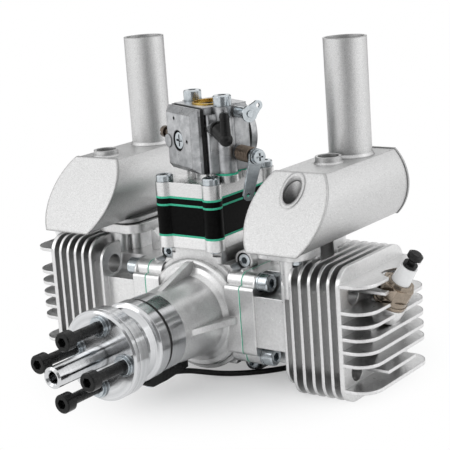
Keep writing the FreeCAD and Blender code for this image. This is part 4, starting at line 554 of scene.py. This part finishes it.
def paper():
    """White paper that keeps the object's shadow close by and runs out to plain white."""
    material = bpy.data.materials.new("paper")
    material.use_nodes = True
    tree = material.node_tree
    shader = tree.nodes["Principled BSDF"]
    shader.inputs["Base Color"].default_value = (1, 1, 1, 1)
    shader.inputs["Roughness"].default_value = 0.9
    shader.inputs["Specular IOR Level"].default_value = 0.0
    white = tree.nodes.new("ShaderNodeEmission")
    place = tree.nodes.new("ShaderNodeTexCoord")
    length = tree.nodes.new("ShaderNodeVectorMath")
    length.operation = "LENGTH"
    tree.links.new(place.outputs["Object"], length.inputs[0])
    away = tree.nodes.new("ShaderNodeMapRange")
    away.interpolation_type = "SMOOTHSTEP"
    away.inputs["From Min"].default_value = SHADOW_NEAR
    away.inputs["From Max"].default_value = SHADOW_FAR
    away.inputs["To Max"].default_value = 1.0
    tree.links.new(length.outputs["Value"], away.inputs["Value"])
    path = tree.nodes.new("ShaderNodeLightPath")
    nearby = tree.nodes.new("ShaderNodeMath")
    nearby.operation = "MULTIPLY"
    nearby.inputs[1].default_value = PAPER_WHITENESS
    tree.links.new(path.outputs["Is Camera Ray"], nearby.inputs[0])
    tree.links.new(nearby.outputs["Value"], away.inputs["To Min"])
    share = tree.nodes.new("ShaderNodeMath")
    share.operation = "MULTIPLY"
    tree.links.new(seen_rays(tree), share.inputs[0])
    tree.links.new(away.outputs["Result"], share.inputs[1])
    mix = tree.nodes.new("ShaderNodeMixShader")
    tree.links.new(share.outputs["Value"], mix.inputs["Fac"])
    tree.links.new(shader.outputs["BSDF"], mix.inputs[1])
    tree.links.new(white.outputs["Emission"], mix.inputs[2])
    tree.links.new(mix.outputs["Shader"], tree.nodes["Material Output"].inputs["Surface"])
    return material


def floor():
    bpy.ops.mesh.primitive_plane_add(size=FLOOR_SIDE, location=(0, SHADOW_MIDDLE_Y, FLOOR_Z))
    plane = bpy.context.object
    plane.name = "floor"
    plane.data.materials.append(paper())


def flag(name, azimuth, half_span, radius, height, shade):
    """Dark curved card that only shows in reflections, as a studio's flags do."""
    points = []
    for k in range(FLAG_STEPS + 1):
        angle = radians(azimuth - half_span + 2 * half_span * k / FLAG_STEPS)
        points.append((radius * sin(angle), -radius * cos(angle)))
    low = [(x, y, FLOOR_Z + FLAG_LIFT) for x, y in points]
    high = [(x, y, FLOOR_Z + height) for x, y in points]
    row = len(points)
    faces = [(k, k + 1, k + 1 + row, k + row) for k in range(FLAG_STEPS)]
    mesh = bpy.data.meshes.new(name)
    mesh.from_pydata(low + high, [], faces)
    card = bpy.data.objects.new(name, mesh)
    bpy.context.scene.collection.objects.link(card)
    material = bpy.data.materials.new(name)
    material.use_nodes = True
    shader = material.node_tree.nodes["Principled BSDF"]
    shader.inputs["Base Color"].default_value = (shade, shade, shade, 1)
    shader.inputs["Roughness"].default_value = 1.0
    shader.inputs["Specular IOR Level"].default_value = 0.0
    mesh.materials.append(material)
    card.visible_camera = False
    card.visible_diffuse = False
    card.visible_transmission = False
    card.visible_shadow = False


def softbox(name, azimuth, elevation, distance, size, radiance):
    """Area lamp given by its direction from the object and its brightness, where white paper is 1."""
    data = bpy.data.lights.new(name, "AREA")
    data.shape = "RECTANGLE"
    data.size, data.size_y = size
    data.energy = radiance * pi * size[0] * size[1]
    lamp = bpy.data.objects.new(name, data)
    bpy.context.scene.collection.objects.link(lamp)
    az, el = radians(azimuth), radians(elevation)
    lamp.location = LAMP_AIM + Vector((sin(az) * cos(el), -cos(az) * cos(el), sin(el))) * distance
    lamp.rotation_mode = "QUATERNION"
    lamp.rotation_quaternion = (LAMP_AIM - lamp.location).to_track_quat("-Z", "Y")
    lamp.visible_camera = False


def world():
    scene_world = bpy.data.worlds.new("studio")
    bpy.context.scene.world = scene_world
    scene_world.use_nodes = True
    tree = scene_world.node_tree
    nodes = tree.nodes
    background = nodes["Background"]
    background.inputs["Color"].default_value = (*ROOM_LIGHT, 1)
    background.inputs["Strength"].default_value = 1.0
    white = nodes.new("ShaderNodeBackground")
    white.inputs["Color"].default_value = (1, 1, 1, 1)
    white.inputs["Strength"].default_value = 1.0
    mix = nodes.new("ShaderNodeMixShader")
    tree.links.new(seen_rays(tree), mix.inputs["Fac"])
    tree.links.new(background.outputs["Background"], mix.inputs[1])
    tree.links.new(white.outputs["Background"], mix.inputs[2])
    tree.links.new(mix.outputs["Shader"], nodes["World Output"].inputs["Surface"])


def camera():
    az, el, roll = (radians(a) for a in (CAMERA_AZIMUTH, CAMERA_ELEVATION, CAMERA_ROLL))
    right = Vector((cos(az), sin(az), 0))
    up = Vector((-sin(az) * sin(el), cos(az) * sin(el), cos(el)))
    back = Vector((sin(az) * cos(el), -cos(az) * cos(el), sin(el)))
    x_axis = right * cos(roll) + up * sin(roll)
    y_axis = up * cos(roll) - right * sin(roll)
    data = bpy.data.cameras.new("camera")
    data.sensor_width = SENSOR
    data.lens = FOCAL_PIXELS / PHOTO_SIDE * SENSOR
    data.shift_x = (PHOTO_SIDE / 2 - CENTRE_X) / PHOTO_SIDE
    data.shift_y = (CENTRE_Y - PHOTO_SIDE / 2) / PHOTO_SIDE
    view = bpy.data.objects.new("camera", data)
    bpy.context.scene.collection.objects.link(view)
    turn = Matrix((x_axis, y_axis, back)).transposed().to_4x4()
    view.matrix_world = Matrix.Translation(CAMERA_PLACE) @ turn
    bpy.context.scene.camera = view


sensor_lead()
throttle_spring()
gap_shade_ring()
floor()
world()
flag("flag_front", azimuth=40, half_span=24, radius=0.42, height=0.3, shade=0.26)
flag("flag_left", azimuth=-118, half_span=16, radius=0.9, height=0.8, shade=0.06)
flag("flag_right", azimuth=-172, half_span=14, radius=0.9, height=0.8, shade=0.06)
softbox("key", azimuth=-38, elevation=30, distance=1.1, size=(0.8, 0.8), radiance=1.1)
softbox("side", azimuth=112, elevation=24, distance=1.1, size=(0.6, 0.9), radiance=1.0)
camera()
bpy.context.scene.view_settings.view_transform = "Standard"
